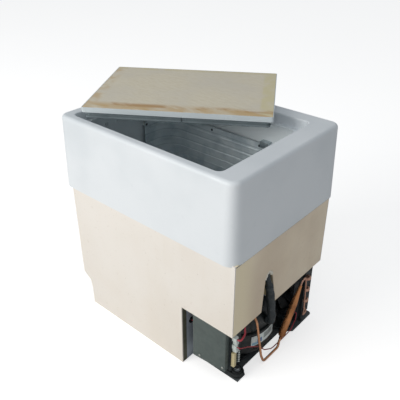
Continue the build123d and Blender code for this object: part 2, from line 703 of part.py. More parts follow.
def oval(grow, z_low, z_high):
    """Upright oval block on the compressor's centre."""
    outline = Ellipse(COMPRESSOR_HALF[0] + grow, COMPRESSOR_HALF[1] + grow)
    return extrude(Pos(*COMPRESSOR_CENTRE, z_low) * outline, amount=z_high - z_low)


shell_low, shell_seam, shell_top = COMPRESSOR_Z
lower_core = oval(-SHELL_WALL, shell_low + SHELL_WALL, shell_seam + OVERCUT)
lower_core = fillet(lower_core.edges().group_by(Axis.Z)[0], radius=LOWER_ROUND - SHELL_WALL)
upper_core = oval(-SHELL_WALL, shell_seam - OVERCUT, shell_top - SHELL_WALL)
upper_core = fillet(upper_core.edges().group_by(Axis.Z)[-1], radius=UPPER_ROUND - SHELL_WALL)

lower_outside = oval(0.0, shell_low, shell_seam)
lower_flange = oval(SEAM_FLANGE, shell_seam - LOWER_FLANGE, shell_seam)
upper_outside = oval(0.0, shell_seam, shell_top)
upper_flange = oval(SEAM_FLANGE, shell_seam, shell_seam + UPPER_FLANGE)

with BuildPart() as compressor_lower_shell:
    add(lower_outside)
    fillet(compressor_lower_shell.edges().group_by(Axis.Z)[0], radius=LOWER_ROUND)
    add(lower_flange)
    add(lower_core, mode=Mode.SUBTRACT)
save(compressor_lower_shell, "compressor_lower_shell")

# Pump inside the shell: stator ring, rotor with its crankshaft, and the cylinder block.
MOTOR_CENTRE = (193.0, -33.0)
STATOR_RADIUS = 46.0
STATOR_Z = (34.0, 70.0)
ROTOR_RADIUS = 24.0
ROTOR_Z = (33.0, 71.0)
AIR_GAP = 0.6
SHAFT_RADIUS = 8.0
SHAFT_TOP = 115.0
THROW_RADIUS = 12.0                 # crank disc on the shaft, off its centre
THROW_OFFSET = 3.0
THROW_Z = (112.0, 121.0)
with BuildPart() as compressor_stator:
    with BuildSketch(at_z(STATOR_Z[0])):
        with Locations(MOTOR_CENTRE):
            Circle(STATOR_RADIUS)
            Circle(ROTOR_RADIUS + AIR_GAP, mode=Mode.SUBTRACT)
    extrude(amount=STATOR_Z[1] - STATOR_Z[0])
save(compressor_stator, "compressor_stator")

with BuildPart() as compressor_rotor:
    with BuildSketch(at_z(ROTOR_Z[0])):
        with Locations(MOTOR_CENTRE):
            Circle(ROTOR_RADIUS)
    extrude(amount=ROTOR_Z[1] - ROTOR_Z[0])
    with BuildSketch(at_z(ROTOR_Z[1])):
        with Locations(MOTOR_CENTRE):
            Circle(SHAFT_RADIUS)
    extrude(amount=SHAFT_TOP - ROTOR_Z[1])
    with BuildSketch(at_z(THROW_Z[0])):
        with Locations((MOTOR_CENTRE[0], MOTOR_CENTRE[1] + THROW_OFFSET)):
            Circle(THROW_RADIUS)
    extrude(amount=THROW_Z[1] - THROW_Z[0])
save(compressor_rotor, "compressor_rotor")

SPRING_RADIUS = 7.0
SPRING_WIRE = 0.9
SPRING_TURNS = 4
SPRING_REACH = 35.0
spring_height = STATOR_Z[0] - shell_low - SHELL_WALL - 2 * SPRING_WIRE
spring_coil = Helix(pitch=spring_height / SPRING_TURNS, height=spring_height, radius=SPRING_RADIUS)
with BuildPart() as one_spring:
    with BuildSketch(Plane(spring_coil @ 0, z_dir=spring_coil % 0)):
        Circle(SPRING_WIRE)
    sweep(path=spring_coil, is_frenet=True)
with BuildPart() as compressor_springs:
    with Locations((*MOTOR_CENTRE, shell_low + SHELL_WALL + SPRING_WIRE)):
        with PolarLocations(SPRING_REACH, 4, start_angle=45):
            add(one_spring.part)
save(compressor_springs, "compressor_springs")

CASTING_X = (153.0, 233.0)
CASTING_Y = (-98.0, 16.0)
CASTING_Z = (74.0, 108.0)
CASTING_CORNER = 16.0
with BuildPart() as cylinder_block:
    add(block(CASTING_X, CASTING_Y, CASTING_Z))
    fillet(cylinder_block.edges().filter_by(Axis.Z), radius=CASTING_CORNER)
    with Locations((*MOTOR_CENTRE, CASTING_Z[1])):
        Hole(SHAFT_RADIUS + RUNNING_CLEARANCE, depth=CASTING_Z[1] - CASTING_Z[0])
save(cylinder_block, "cylinder_block")

# Blank name plate on the shell's outer flank.
LABEL_Y = (-82.0, -4.0)
LABEL_Z = (50.0, 80.0)
LABEL_FILM = (0.05, 0.5)            # the film's two faces, outside the shell
label_core = oval(LABEL_FILM[0], LABEL_Z[0] - OVERCUT, LABEL_Z[1] + OVERCUT)
label_band = oval(LABEL_FILM[1], LABEL_Z[0], LABEL_Z[1]) - label_core
with BuildPart() as compressor_label:
    add(label_band)
    add(block((COMPRESSOR_CENTRE[0], 280.0), LABEL_Y, LABEL_Z), mode=Mode.INTERSECT)
save(compressor_label, "compressor_label")

# ------------------------------------------------------------------ machine bay: electronic unit
turn = radians(ELECTRONICS_TURN)
electronics_plane = Plane(
    origin=ELECTRONICS_ORIGIN, x_dir=(cos(turn), sin(turn), 0), z_dir=(0, 0, 1)
)
COVER_WIDTH = 92.0
COVER_DEPTH = 14.0
BASE_WIDTH = 98.0
BASE_DEPTH = 40.0
BASE_Y = (COVER_DEPTH, COVER_DEPTH + BASE_DEPTH)
BASE_WALL = 3.0
BASE_DROP = 4.0                     # how far the base lies below the cover's edges
COVER_ROUND = 1.2
SHEET = 1.5


def in_unit(x_range, y_range, z_range):
    """Plain block given in the electronic unit's own frame."""
    return electronics_plane.location * block(x_range, y_range, z_range)


unit_top = ELECTRONICS_HEIGHT
cover_inside = in_unit(
    (SHEET, COVER_WIDTH - SHEET),
    (SHEET, COVER_DEPTH + OVERCUT),
    (SHEET, unit_top - SHEET),
)
with BuildPart() as electronic_unit_cover:
    add(in_unit((0, COVER_WIDTH), (0, COVER_DEPTH), (0, unit_top)))
    fillet(electronic_unit_cover.faces().sort_by(Axis.Y)[0].edges(), radius=COVER_ROUND)
    add(cover_inside, mode=Mode.SUBTRACT)
save(electronic_unit_cover, "electronic_unit_cover")

base_inside = in_unit(
    (BASE_WALL, COVER_WIDTH - BASE_WALL),
    (COVER_DEPTH - OVERCUT, COVER_DEPTH + BASE_DEPTH - BASE_WALL),
    (BASE_WALL, unit_top - BASE_DROP - BASE_WALL),
)
GROOVE = (1.2, 2.4)                 # depth and width of the grooves in the base's side
GROOVE_OFFSETS = (3.0, 9.0)
rib_cuts = [
    in_unit(
        (BASE_WIDTH - GROOVE[0], BASE_WIDTH + OVERCUT),
        (COVER_DEPTH + offset, COVER_DEPTH + offset + GROOVE[1]),
        (-BASE_DROP - OVERCUT, unit_top),
    )
    for offset in GROOVE_OFFSETS
]
with BuildPart() as electronic_unit_base:
    add(in_unit((0.5, BASE_WIDTH), BASE_Y, (-BASE_DROP, unit_top - BASE_DROP)))
    add(base_inside, mode=Mode.SUBTRACT)
    for rib_cut in rib_cuts:
        add(rib_cut, mode=Mode.SUBTRACT)
save(electronic_unit_base, "electronic_unit_base")

BOARD_X = (8.0, 86.0)
BOARD_Z = (8.0, 116.0)
BOARD_Y = (COVER_DEPTH + 14.0, COVER_DEPTH + 15.6)
COMPONENT_Y = COVER_DEPTH + 2.0
COMPONENTS = ((24.0, 40.0, 12.0), (44.0, 40.0, 12.0), (70.0, 30.0, 18.0), (30.0, 84.0, 22.0))
with BuildPart() as circuit_board:
    add(in_unit(BOARD_X, BOARD_Y, BOARD_Z))
    for x, z, size in COMPONENTS:
        add(in_unit((x, x + size), (COMPONENT_Y, BOARD_Y[0]), (z, z + size)))
save(circuit_board, "circuit_board")

COVER_SCREWS = ((20.0, 10.0), (85.0, 10.0))
COVER_SCREW_RADIUS = 3.0
COVER_SCREW_HEAD = 1.6
COVER_SCREW_ROUND = 1.0
cover_face = Plane(
    origin=electronics_plane.from_local_coords((0, 0, 0)),
    x_dir=electronics_plane.x_dir,
    z_dir=-electronics_plane.y_dir,
)
with BuildPart() as cover_screws:
    with BuildSketch(cover_face):
        with Locations(*COVER_SCREWS):
            Circle(COVER_SCREW_RADIUS)
    extrude(amount=COVER_SCREW_HEAD)
    outward = Axis(cover_face.origin, cover_face.z_dir)
    fillet(cover_screws.faces().sort_by(outward)[-2:].edges(), radius=COVER_SCREW_ROUND)
save(cover_screws, "cover_screws")

EARTH_X = (-6.0, 10.0)
EARTH_Y = (COVER_DEPTH + 4.0, COVER_DEPTH + 14.0)
EARTH_Z = (-BASE_DROP - SHEET, 8.0)
with BuildPart() as earth_tab:
    add(in_unit(EARTH_X, EARTH_Y, (EARTH_Z[0], -BASE_DROP)))
    add(in_unit((EARTH_X[0], EARTH_X[0] + SHEET), EARTH_Y, EARTH_Z))
save(earth_tab, "earth_tab")

# Row of insulated push-on terminals, their connector and a comb of pins on the unit's side.
TERMINAL_LEVELS = (102.5, 91.0, 79.5, 68.0)
TERMINAL_Y = (COVER_DEPTH + 1.0, COVER_DEPTH + 12.0)
TERMINAL_LENGTH = 12.0
TERMINAL_STAGGER = 3.0
TERMINAL_BELOW = (11.0, 0.5)        # bottom and top of a sleeve, below its level
TERMINAL_ROUND = 2.4
with BuildPart() as spade_terminals:
    for index, level in enumerate(TERMINAL_LEVELS):
        shift = TERMINAL_STAGGER if index % 2 else 0.0
        sleeve = in_unit(
            (BASE_WIDTH, BASE_WIDTH + TERMINAL_LENGTH),
            (TERMINAL_Y[0] + shift, TERMINAL_Y[1] + shift),
            (level - TERMINAL_BELOW[0], level - TERMINAL_BELOW[1]),
        )
        add(sleeve)
    fillet(spade_terminals.edges().filter_by(Axis.Z), radius=TERMINAL_ROUND)
save(spade_terminals, "spade_terminals")

CONNECTOR_X = (BASE_WIDTH, BASE_WIDTH + 9.0)
CONNECTOR_Y = (COVER_DEPTH + 1.0, COVER_DEPTH + 10.0)
CONNECTOR_Z = (12.0, 53.0)
CONNECTOR_CHAMFER = 0.8
with BuildPart() as connector_block:
    add(in_unit(CONNECTOR_X, CONNECTOR_Y, CONNECTOR_Z))
    chamfer(connector_block.edges().filter_by(Axis.Z), length=CONNECTOR_CHAMFER)
save(connector_block, "connector_block")

COMB_X = (BASE_WIDTH, BASE_WIDTH + 4.0)
COMB_Y = (COVER_DEPTH + 13.0, COVER_DEPTH + 21.0)
COMB_Z = (18.0, 56.0)
PIN_COUNT = 7
PIN_X = (COMB_X[1], COMB_X[1] + 6.0)
PIN_Y = (COVER_DEPTH + 14.5, COVER_DEPTH + 19.5)
PIN_FIRST_Z = 20.5
PIN_PITCH = 5.6
PIN_WIDTH = 2.6
with BuildPart() as pin_comb:
    add(in_unit(COMB_X, COMB_Y, COMB_Z))
    for index in range(PIN_COUNT):
        low = PIN_FIRST_Z + PIN_PITCH * index
        add(in_unit(PIN_X, PIN_Y, (low, low + PIN_WIDTH)))
save(pin_comb, "pin_comb")

# ------------------------------------------------------------------ machine bay: fan and condenser
fan_x, fan_z = FAN_CENTRE
fan_plane_front = at_y(FAN_Y[0])
fan_plane_back = at_y(FAN_Y[1])
FAN_BORE = 57.0
HUB_RADIUS = 20.0
STRUT = 5.0
HUB_PLATE = 4.0
FAN_SHAFT_RADIUS = 2.0
FAN_HOLE_SPACING = 105.0
FAN_HOLE_RADIUS = 2.2
FAN_CORNER = 7.0
HUB_RIM = 2.0
HUB_ROUND = 2.5
with BuildPart() as fan_frame:
    with BuildSketch(fan_plane_back) as frame_sketch:
        with Locations(FAN_CENTRE):
            RectangleRounded(FAN_SIZE, FAN_SIZE, FAN_CORNER)
            Circle(FAN_BORE, mode=Mode.SUBTRACT)
            with GridLocations(FAN_HOLE_SPACING, FAN_HOLE_SPACING, 2, 2):
                Circle(FAN_HOLE_RADIUS, mode=Mode.SUBTRACT)
    extrude(amount=FAN_Y[1] - FAN_Y[0])
    with BuildSketch(fan_plane_back):
        with Locations(FAN_CENTRE):
            Circle(HUB_RADIUS + HUB_RIM)
            Rectangle(2 * FAN_BORE + HUB_RIM, STRUT)
            Rectangle(STRUT, 2 * FAN_BORE + HUB_RIM)
    extrude(amount=HUB_PLATE)
    with BuildSketch(fan_plane_back):
        with Locations(FAN_CENTRE):
            Circle(FAN_SHAFT_RADIUS + RUNNING_CLEARANCE)
    extrude(amount=HUB_PLATE + OVERCUT, mode=Mode.SUBTRACT)
save(fan_frame, "fan_frame")

BLADE_COUNT = 7
BLADE_TIP = 54.0
BLADE_THICKNESS = 1.8
BLADE_EDGE = 0.8
ROTOR_Y = (FAN_Y[0] + 2.0, FAN_Y[1] - 5.0)
rotor_middle = sum(ROTOR_Y) / 2


def fan_blade(angle):
    """One twisted blade, from the hub outwards."""
    spoke = Vector(cos(radians(angle)), 0, sin(radians(angle)))
    around = Vector(-sin(radians(angle)), 0, cos(radians(angle)))
    sections = []
    for reach, pitch, chord in ((HUB_RADIUS - 2.0, 52.0, 17.0), (BLADE_TIP, 30.0, 27.0)):
        tilt = radians(pitch)
        chord_dir = around * cos(tilt) + Vector(0, 1, 0) * sin(tilt)
        centre = Vector(fan_x, rotor_middle, fan_z) + spoke * reach
        outline = RectangleRounded(chord, BLADE_THICKNESS, BLADE_EDGE)
        sections.append(Plane(origin=centre, x_dir=chord_dir, z_dir=spoke) * outline)
    return loft(sections)


blades = [fan_blade(360.0 / BLADE_COUNT * i) for i in range(BLADE_COUNT)]
with BuildPart() as fan_rotor:
    with BuildSketch(at_y(ROTOR_Y[1])):
        with Locations(FAN_CENTRE):
            Circle(HUB_RADIUS)
    extrude(amount=ROTOR_Y[1] - ROTOR_Y[0])
    fillet(fan_rotor.faces().sort_by(Axis.Y)[0].edges(), radius=HUB_ROUND)
    for blade in blades:
        add(blade)
    with BuildSketch(at_y(FAN_Y[1])):
        with Locations(FAN_CENTRE):
            Circle(FAN_SHAFT_RADIUS)
    extrude(amount=FAN_Y[1] - ROTOR_Y[1])
save(fan_rotor, "fan_rotor")

# Sheet duct between the fan and the condenser.
DUCT_X = (COIL_X[0] - 2.0, COIL_X[1] + 2.0)
DUCT_Z = (COIL_Z[0], COIL_Z[1] - 1.0)
DUCT_SHEET = 1.2
with BuildPart() as fan_shroud:
    add(block(DUCT_X, (FAN_Y[1], COIL_Y[0]), DUCT_Z))
    inner_duct = block(
        (DUCT_X[0] + DUCT_SHEET, DUCT_X[1] - DUCT_SHEET),
        (FAN_Y[1] + DUCT_SHEET, COIL_Y[0] + OVERCUT),
        (DUCT_Z[0] + DUCT_SHEET, DUCT_Z[1] - DUCT_SHEET),
    )
    add(inner_duct, mode=Mode.SUBTRACT)
    with BuildSketch(at_y(FAN_Y[1] + 2 * DUCT_SHEET)):
        with Locations(FAN_CENTRE):
            Circle(FAN_BORE)
    extrude(amount=4 * DUCT_SHEET, mode=Mode.SUBTRACT)
save(fan_shroud, "fan_shroud")

tube_places = [(y, z) for z in COIL_LEVELS_Z for y in reversed(COIL_ROWS_Y)][:-1]
FIN = 0.5
FIN_PITCH = 4.0
fin_count = int((COIL_X[1] - COIL_X[0]) / FIN_PITCH)
fin_planes = [at_x(COIL_X[0] + FIN_PITCH * (i + 0.5)) for i in range(fin_count)]
with BuildPart() as condenser_fins:
    with BuildSketch(*fin_planes):
        with Locations((sum(COIL_Y) / 2, sum(COIL_Z) / 2)):
            Rectangle(COIL_Y[1] - COIL_Y[0], COIL_Z[1] - COIL_Z[0])
        with Locations(*tube_places):
            Circle(COIL_TUBE_RADIUS + 0.05, mode=Mode.SUBTRACT)
    extrude(amount=FIN)
save(condenser_fins, "condenser_fins")

END_SHEET = 1.5
FRONT_FLANGE = 7.0
FOOT_DEPTH = 10.0
end_planes = [at_x(COIL_X[0] - END_SHEET), at_x(COIL_X[1])]
with BuildPart() as condenser_end_plates:
    with BuildSketch(*end_planes):
        with Locations((sum(COIL_Y) / 2, sum(COIL_Z) / 2)):
            Rectangle(COIL_Y[1] - COIL_Y[0], COIL_Z[1] - COIL_Z[0])
        with Locations((COIL_Y[0] + FOOT_DEPTH / 2, (COIL_Z[0] + PLATE) / 2)):
            Rectangle(FOOT_DEPTH, COIL_Z[0] - PLATE)
        with Locations(*tube_places):
            Circle(COIL_TUBE_RADIUS + 0.05, mode=Mode.SUBTRACT)
    extrude(amount=END_SHEET)
    for x_low in (COIL_X[0] - END_SHEET - FRONT_FLANGE, COIL_X[1] + END_SHEET):
        strip_x = (x_low, x_low + FRONT_FLANGE)
        front_strip = block(strip_x, (COIL_Y[0], COIL_Y[0] + END_SHEET), (PLATE, COIL_Z[1]))
        foot_strip = block(strip_x, (COIL_Y[0], COIL_Y[0] + FOOT_DEPTH), (PLATE, PLATE + END_SHEET))
        add(front_strip)
        add(foot_strip)
save(condenser_end_plates, "condenser_end_plates")

BEND_START = 3.5                    # straight tube past the fin pack before each return bend
BEND_REACH = 7.0
BEND_RADIUS = 6.4
left_turn_x = COIL_X[0] - BEND_START
right_turn_x = COIL_X[1] + BEND_START
left_out_x = left_turn_x - BEND_REACH
right_out_x = right_turn_x + BEND_REACH

# One serpentine of seven passes: level return bends on the right, sloping ones on the left.
front_row, back_row = COIL_ROWS_Y
coil_points = [(left_turn_x, back_row, COIL_LEVELS_Z[0])]
for level, next_level in zip(COIL_LEVELS_Z, COIL_LEVELS_Z[1:]):
    coil_points.append((right_out_x, back_row, level))
    coil_points.append((right_out_x, front_row, level))
    coil_points.append((left_out_x, front_row, level))
    coil_points.append((left_out_x, back_row, next_level))
coil_points.append((right_turn_x, back_row, COIL_LEVELS_Z[-1]))
coil_solid = pipe(coil_points, [BEND_RADIUS] * (len(coil_points) - 2), COIL_TUBE_RADIUS)
with BuildPart() as condenser_tubes:
    add(coil_solid)
save(condenser_tubes, "condenser_tubes")

# ------------------------------------------------------------------ refrigerant lines
# Filter drier: a spun copper can that leans on the outside of the fan.
DRIER_LOWER_CONE = 4.0
DRIER_UPPER_CONE = 42.0
drier_plane = Plane(origin=DRIER_LOW, x_dir=(1, 0, 0), z_dir=Vector(1, 0, 0).cross(drier_axis))
with BuildPart() as filter_drier:
    with BuildSketch(drier_plane) as drier_half:
        with BuildLine():
            Polyline(
                (0, -DRIER_TAILS[0]),
                (NECK_RADIUS, -DRIER_TAILS[0]),
                (NECK_RADIUS, 0),
                (DRIER_RADIUS, DRIER_LOWER_CONE),
                (DRIER_RADIUS, drier_length - DRIER_UPPER_CONE),
                (NECK_RADIUS, drier_length),
                (NECK_RADIUS, drier_length + DRIER_TAILS[1]),
                (0, drier_length + DRIER_TAILS[1]),
                close=True,
            )
        make_face()
    revolve(axis=Axis(DRIER_LOW, drier_axis))
save(filter_drier, "filter_drier")

# Thin riser from the condenser's lowest tube up to the drier.
outlet_points = [
    (right_turn_x, back_row, COIL_LEVELS_Z[-1]),
    (264.5, back_row, COIL_LEVELS_Z[-1]),
    (264.5, 122.0, 18.0),
    (268.0, 120.5, 42.0),
    (268.0, 113.0, 140.0),
    (268.5, 106.0, 163.0),
    drier_inlet + drier_axis * 10.0,
    drier_inlet,
]
outlet_radii = [5.0, 8.0, 30.0, 30.0, 8.0, 7.0]
outlet_solid = pipe(outlet_points, outlet_radii, OUTLET_RADIUS)
with BuildPart() as condenser_outlet_line:
    add(outlet_solid)
save(condenser_outlet_line, "condenser_outlet_line")

# Line from the drier, in a low loop outside the compressor, up to the evaporator.
with BuildPart() as liquid_line:
    add(liquid_solid)
save(liquid_line, "liquid_line")

# Discharge line from the compressor, over the fan, to the condenser's back row.
discharge_points = [
    (160.0, 24.0, 118.0),
    (160.0, 24.0, 160.0),
    (146.0, 50.0, 170.5),
    (125.5, 76.0, 171.5),
    (125.2, 120.0, 171.5),
    (126.0, back_row, 165.0),
    (126.5, back_row, COIL_LEVELS_Z[0]),
    (left_turn_x, back_row, COIL_LEVELS_Z[0]),
]
discharge_radii = [9.0, 14.0, 16.0, 16.0, 10.0, 5.0]
discharge_solid = pipe(discharge_points, discharge_radii, LINE_RADIUS)
with BuildPart() as discharge_line:
    add(discharge_solid)
    add(upper_core, mode=Mode.SUBTRACT)
save(discharge_line, "discharge_line")

# Suction line's two lengths of black sleeve, from the slot down to the compressor.
SLEEVE_JOINT_Z = 242.0
SLEEVE_TOP_Z = 300.0
SLEEVE_X = (200.0, 300.0)
SLEEVE_Y = (-120.0, 0.0)
hose_space = block(SLEEVE_X, SLEEVE_Y, (SLEEVE_JOINT_Z, SLEEVE_TOP_Z))
lower_hose_space = block(SLEEVE_X, SLEEVE_Y, (0.0, SLEEVE_JOINT_Z))
oval_clear = oval(SEAM_FLANGE + 0.3, shell_seam - 10.0, shell_top + 10.0)

with BuildPart() as suction_line:
    add(suction_solid)
    add(upper_core, mode=Mode.SUBTRACT)
save(suction_line, "suction_line")

lower_sleeve = (sleeve_solid & lower_hose_space) - oval_clear
upper_sleeve = upper_sleeve_solid & hose_space
with BuildPart() as suction_sleeves:
    add(lower_sleeve)
    add(upper_sleeve)
save(suction_sleeves, "suction_sleeves")

# Crimped charging stub on the compressor.
process_points = [(150.0, -60.0, 112.0), (150.0, -60.0, 152.0), (140.0, -84.0, 160.0)]
process_solid = pipe(process_points, [9.0], LINE_RADIUS)
with BuildPart() as process_tube:
    add(process_solid)
    add(upper_core, mode=Mode.SUBTRACT)
save(process_tube, "process_tube")

# Upper half of the compressor's shell, bored where the three lines pass through its wall.
with BuildPart() as compressor_upper_shell:
    add(upper_outside)
    fillet(compressor_upper_shell.edges().group_by(Axis.Z)[-1], radius=UPPER_ROUND)
    add(upper_flange)
    add(upper_core, mode=Mode.SUBTRACT)
    for line in (discharge_solid, suction_solid, process_solid):
        add(line, mode=Mode.SUBTRACT)
save(compressor_upper_shell, "compressor_upper_shell")

# ------------------------------------------------------------------ leads
def terminal_point(level, shift):
    """Middle of one push-on terminal's outer end."""
    y_middle = (TERMINAL_Y[0] + TERMINAL_Y[1]) / 2 + shift
    z_middle = level - sum(TERMINAL_BELOW) / 2
    return electronics_plane.from_local_coords((BASE_WIDTH + TERMINAL_LENGTH, y_middle, z_middle))


POWER_LEAD_RADIUS = 2.3
FAN_LEAD_RADIUS = 1.3
SENSOR_LEAD_RADIUS = 1.6
power_start = terminal_point(TERMINAL_LEVELS[0], 0.0)
unit_x = electronics_plane.x_dir
power_points = [
    power_start,
    power_start + unit_x * 8.0,
    (POWER_ENTRY[0] + 6.0, POWER_ENTRY[1] - 5.0, power_start.Z + 5.0),
    (*POWER_ENTRY, 164.0),
    (*POWER_ENTRY, BAY_Z + 1.0),
]
power_solid = pipe(power_points, [5.0, 10.0, 10.0], POWER_LEAD_RADIUS)
with BuildPart() as power_lead:
    add(power_solid)
save(power_lead, "power_lead")

fan_start = terminal_point(TERMINAL_LEVELS[2], 0.0)
fan_points = [
    fan_start,
    fan_start + unit_x * 7.0,
    (264.0, -124.0, 96.0),
    (262.0, -80.0, 62.0),
    (262.0, -48.0, 26.0),
    (262.0, -16.0, 5.0),
    (263.0, 30.0, 4.2),
    (266.0, 66.0, 12.0),
    (264.0, 88.0, 32.0),
    (263.0, 92.0, 50.0),
    (255.1, 92.0, 50.0),
]
fan_radii = [5.0, 20.0, 30.0, 25.0, 30.0, 40.0, 20.0, 9.0, 4.0]
fan_solid = pipe(fan_points, fan_radii, FAN_LEAD_RADIUS)
with BuildPart() as fan_lead:
    add(fan_solid)
save(fan_lead, "fan_lead")

sensor_start = electronics_plane.from_local_coords((0.5, COVER_DEPTH + 10.0, 104.0))
sensor_wire_points = [
    sensor_start,
    sensor_start - unit_x * 9.0,
    (BAY_X + 15.0, SENSOR_ENTRY[0] - 5.0, sensor_start.Z - 18.0),
    (BAY_X + 10.0, *SENSOR_ENTRY),
    (BAY_X - SKIN, *SENSOR_ENTRY),
]
sensor_wire_solid = pipe(sensor_wire_points, [5.0, 5.0, 3.0], SENSOR_LEAD_RADIUS)
with BuildPart() as sensor_lead:
    add(sensor_wire_solid)
save(sensor_lead, "sensor_lead")

# ------------------------------------------------------------------ lid
lid_turn = radians(LID_TURN)
lid_plane = Plane(
    origin=(*LID_CENTRE, TOTAL_HEIGHT + LID_GAP),
    x_dir=(cos(lid_turn), sin(lid_turn), 0),
    z_dir=(0, 0, 1),
)
LID_TRIM = 1.6
LID_EDGE_Z = 14.5                   # underside of the white edge, above the seal's foot
LID_BOARD = 4.0
TRAY_INSET = 12.0
TRAY_SHEET = 2.0
SEAL_WIDTH = 6.5
SEAL_FOOT_Z = 5.5                   # top of the seal's lower bulge
SEAL_WAIST_Z = 8.5
SEAL_WAIST = 2.2
SEAL_CORNER = 9.0
LID_CORNER = 5.0
BOARD_CORNER = 2.0
TRAY_CORNER = 8.0
TRAY_FLOOR_Z = 1.0


def lid_slab(inset, z_low, z_high, corner):
    """Level slab of the lid's outline, set in by a margin, in the lid's own frame."""
    outline = RectangleRounded(LID_LENGTH - 2 * inset, LID_WIDTH - 2 * inset, corner)
    return lid_plane.location * extrude(Pos(0, 0, z_low) * outline, amount=z_high - z_low)


lid_top = lid_slab(LID_TRIM, LID_HEIGHT - LID_BOARD, LID_HEIGHT, BOARD_CORNER)
with BuildPart() as lid_board:
    add(lid_top)
    chamfer(lid_board.faces().sort_by(Axis.Z)[-1].edges(), length=0.5)
save(lid_board, "lid_board")

lid_hollow = lid_slab(LID_TRIM, LID_EDGE_Z + LID_TRIM, LID_HEIGHT + OVERCUT, BOARD_CORNER)
lid_frame_hole = lid_slab(TRAY_INSET, LID_EDGE_Z - OVERCUT, LID_HEIGHT, TRAY_CORNER)
lid_edge = lid_slab(0.0, LID_EDGE_Z, LID_HEIGHT - 0.3, LID_CORNER)
with BuildPart() as lid_edge_frame:
    add(lid_edge)
    fillet(lid_edge_frame.faces().sort_by(Axis.Z)[0].edges(), radius=1.2)
    add(lid_hollow, mode=Mode.SUBTRACT)
    add(lid_frame_hole, mode=Mode.SUBTRACT)
save(lid_edge_frame, "lid_edge_frame")

lid_core_upper = lid_slab(LID_TRIM, LID_EDGE_Z + LID_TRIM, LID_HEIGHT - LID_BOARD, BOARD_CORNER)
tray_inside = (TRAY_INSET + TRAY_SHEET, TRAY_FLOOR_Z + TRAY_SHEET)
lid_core_lower = lid_slab(*tray_inside, LID_EDGE_Z + LID_TRIM, TRAY_CORNER - TRAY_SHEET)
with BuildPart() as lid_foam_core:
    add(lid_core_upper)
    add(lid_core_lower)
save(lid_foam_core, "lid_foam_core")

lid_tray_hole = lid_slab(*tray_inside, LID_EDGE_Z + LID_TRIM + OVERCUT, TRAY_CORNER - TRAY_SHEET)
lid_tray = lid_slab(TRAY_INSET, TRAY_FLOOR_Z, LID_EDGE_Z + LID_TRIM, TRAY_CORNER)
with BuildPart() as lid_inner_tray:
    add(lid_tray)
    fillet(lid_inner_tray.faces().sort_by(Axis.Z)[0].edges(), radius=3.0)
    add(lid_tray_hole, mode=Mode.SUBTRACT)
save(lid_inner_tray, "lid_inner_tray")

# Seal around the tray: a flat band with two bulges, cut at the middle of the front side.
SEAL_JOINT_X = 12.0
SEAL_JOINT_GAP = 3.0
seal_hole = lid_slab(TRAY_INSET, -OVERCUT, LID_EDGE_Z + OVERCUT, TRAY_CORNER)
seal_notch = lid_plane.location * block(
    (SEAL_JOINT_X, SEAL_JOINT_X + SEAL_JOINT_GAP),
    (-LID_WIDTH / 2, -LID_WIDTH / 4),
    (-OVERCUT, LID_EDGE_Z + OVERCUT),
)
seal_foot = lid_slab(TRAY_INSET - SEAL_WIDTH, 0.0, SEAL_FOOT_Z, SEAL_CORNER)
seal_waist = lid_slab(TRAY_INSET - SEAL_WIDTH + SEAL_WAIST, SEAL_FOOT_Z, SEAL_WAIST_Z, SEAL_CORNER)
seal_head = lid_slab(TRAY_INSET - SEAL_WIDTH, SEAL_WAIST_Z, LID_EDGE_Z, SEAL_CORNER)
with BuildPart() as lid_seal:
    add(seal_foot)
    fillet(lid_seal.edges().group_by(Axis.Z)[0], radius=2.0)
    add(seal_waist)
    add(seal_head)
    add(seal_hole, mode=Mode.SUBTRACT)
    add(seal_notch, mode=Mode.SUBTRACT)
save(lid_seal, "lid_seal")
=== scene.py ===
import random
from math import cos, pi, radians, sin

import bmesh
import bpy
from mathutils import Matrix, Vector, noise


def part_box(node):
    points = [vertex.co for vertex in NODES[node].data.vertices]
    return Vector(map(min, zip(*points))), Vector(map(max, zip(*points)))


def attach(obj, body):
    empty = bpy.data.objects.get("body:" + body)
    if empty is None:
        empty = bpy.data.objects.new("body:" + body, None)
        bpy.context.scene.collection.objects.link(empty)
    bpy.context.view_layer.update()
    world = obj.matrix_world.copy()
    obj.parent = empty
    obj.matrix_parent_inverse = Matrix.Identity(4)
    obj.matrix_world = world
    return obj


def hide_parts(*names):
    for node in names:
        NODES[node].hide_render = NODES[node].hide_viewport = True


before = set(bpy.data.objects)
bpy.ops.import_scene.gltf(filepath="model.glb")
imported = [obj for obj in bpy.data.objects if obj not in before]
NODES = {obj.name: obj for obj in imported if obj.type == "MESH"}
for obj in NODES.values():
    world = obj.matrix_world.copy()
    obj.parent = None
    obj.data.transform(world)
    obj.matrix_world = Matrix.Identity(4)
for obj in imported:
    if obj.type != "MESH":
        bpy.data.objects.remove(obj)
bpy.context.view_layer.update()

# The looks of a built-in ice box around its CAD frame.  Metres, +Z up, +X towards the machine
# bay.  Materials come first, then the pieces that replace or add to CAD nodes, then the staging.

MM = 0.001
random.seed(7)


# ------------------------------------------------------------------ colours and materials
def linear(code):
    """Scene-linear colour of a web colour such as E4E6E8."""
    channels = []
    for i in (0, 2, 4):
        value = int(code[i:i + 2], 16) / 255
        channels.append(value / 12.92 if value <= 0.04045 else ((value + 0.055) / 1.055) ** 2.4)
    return (*channels, 1.0)


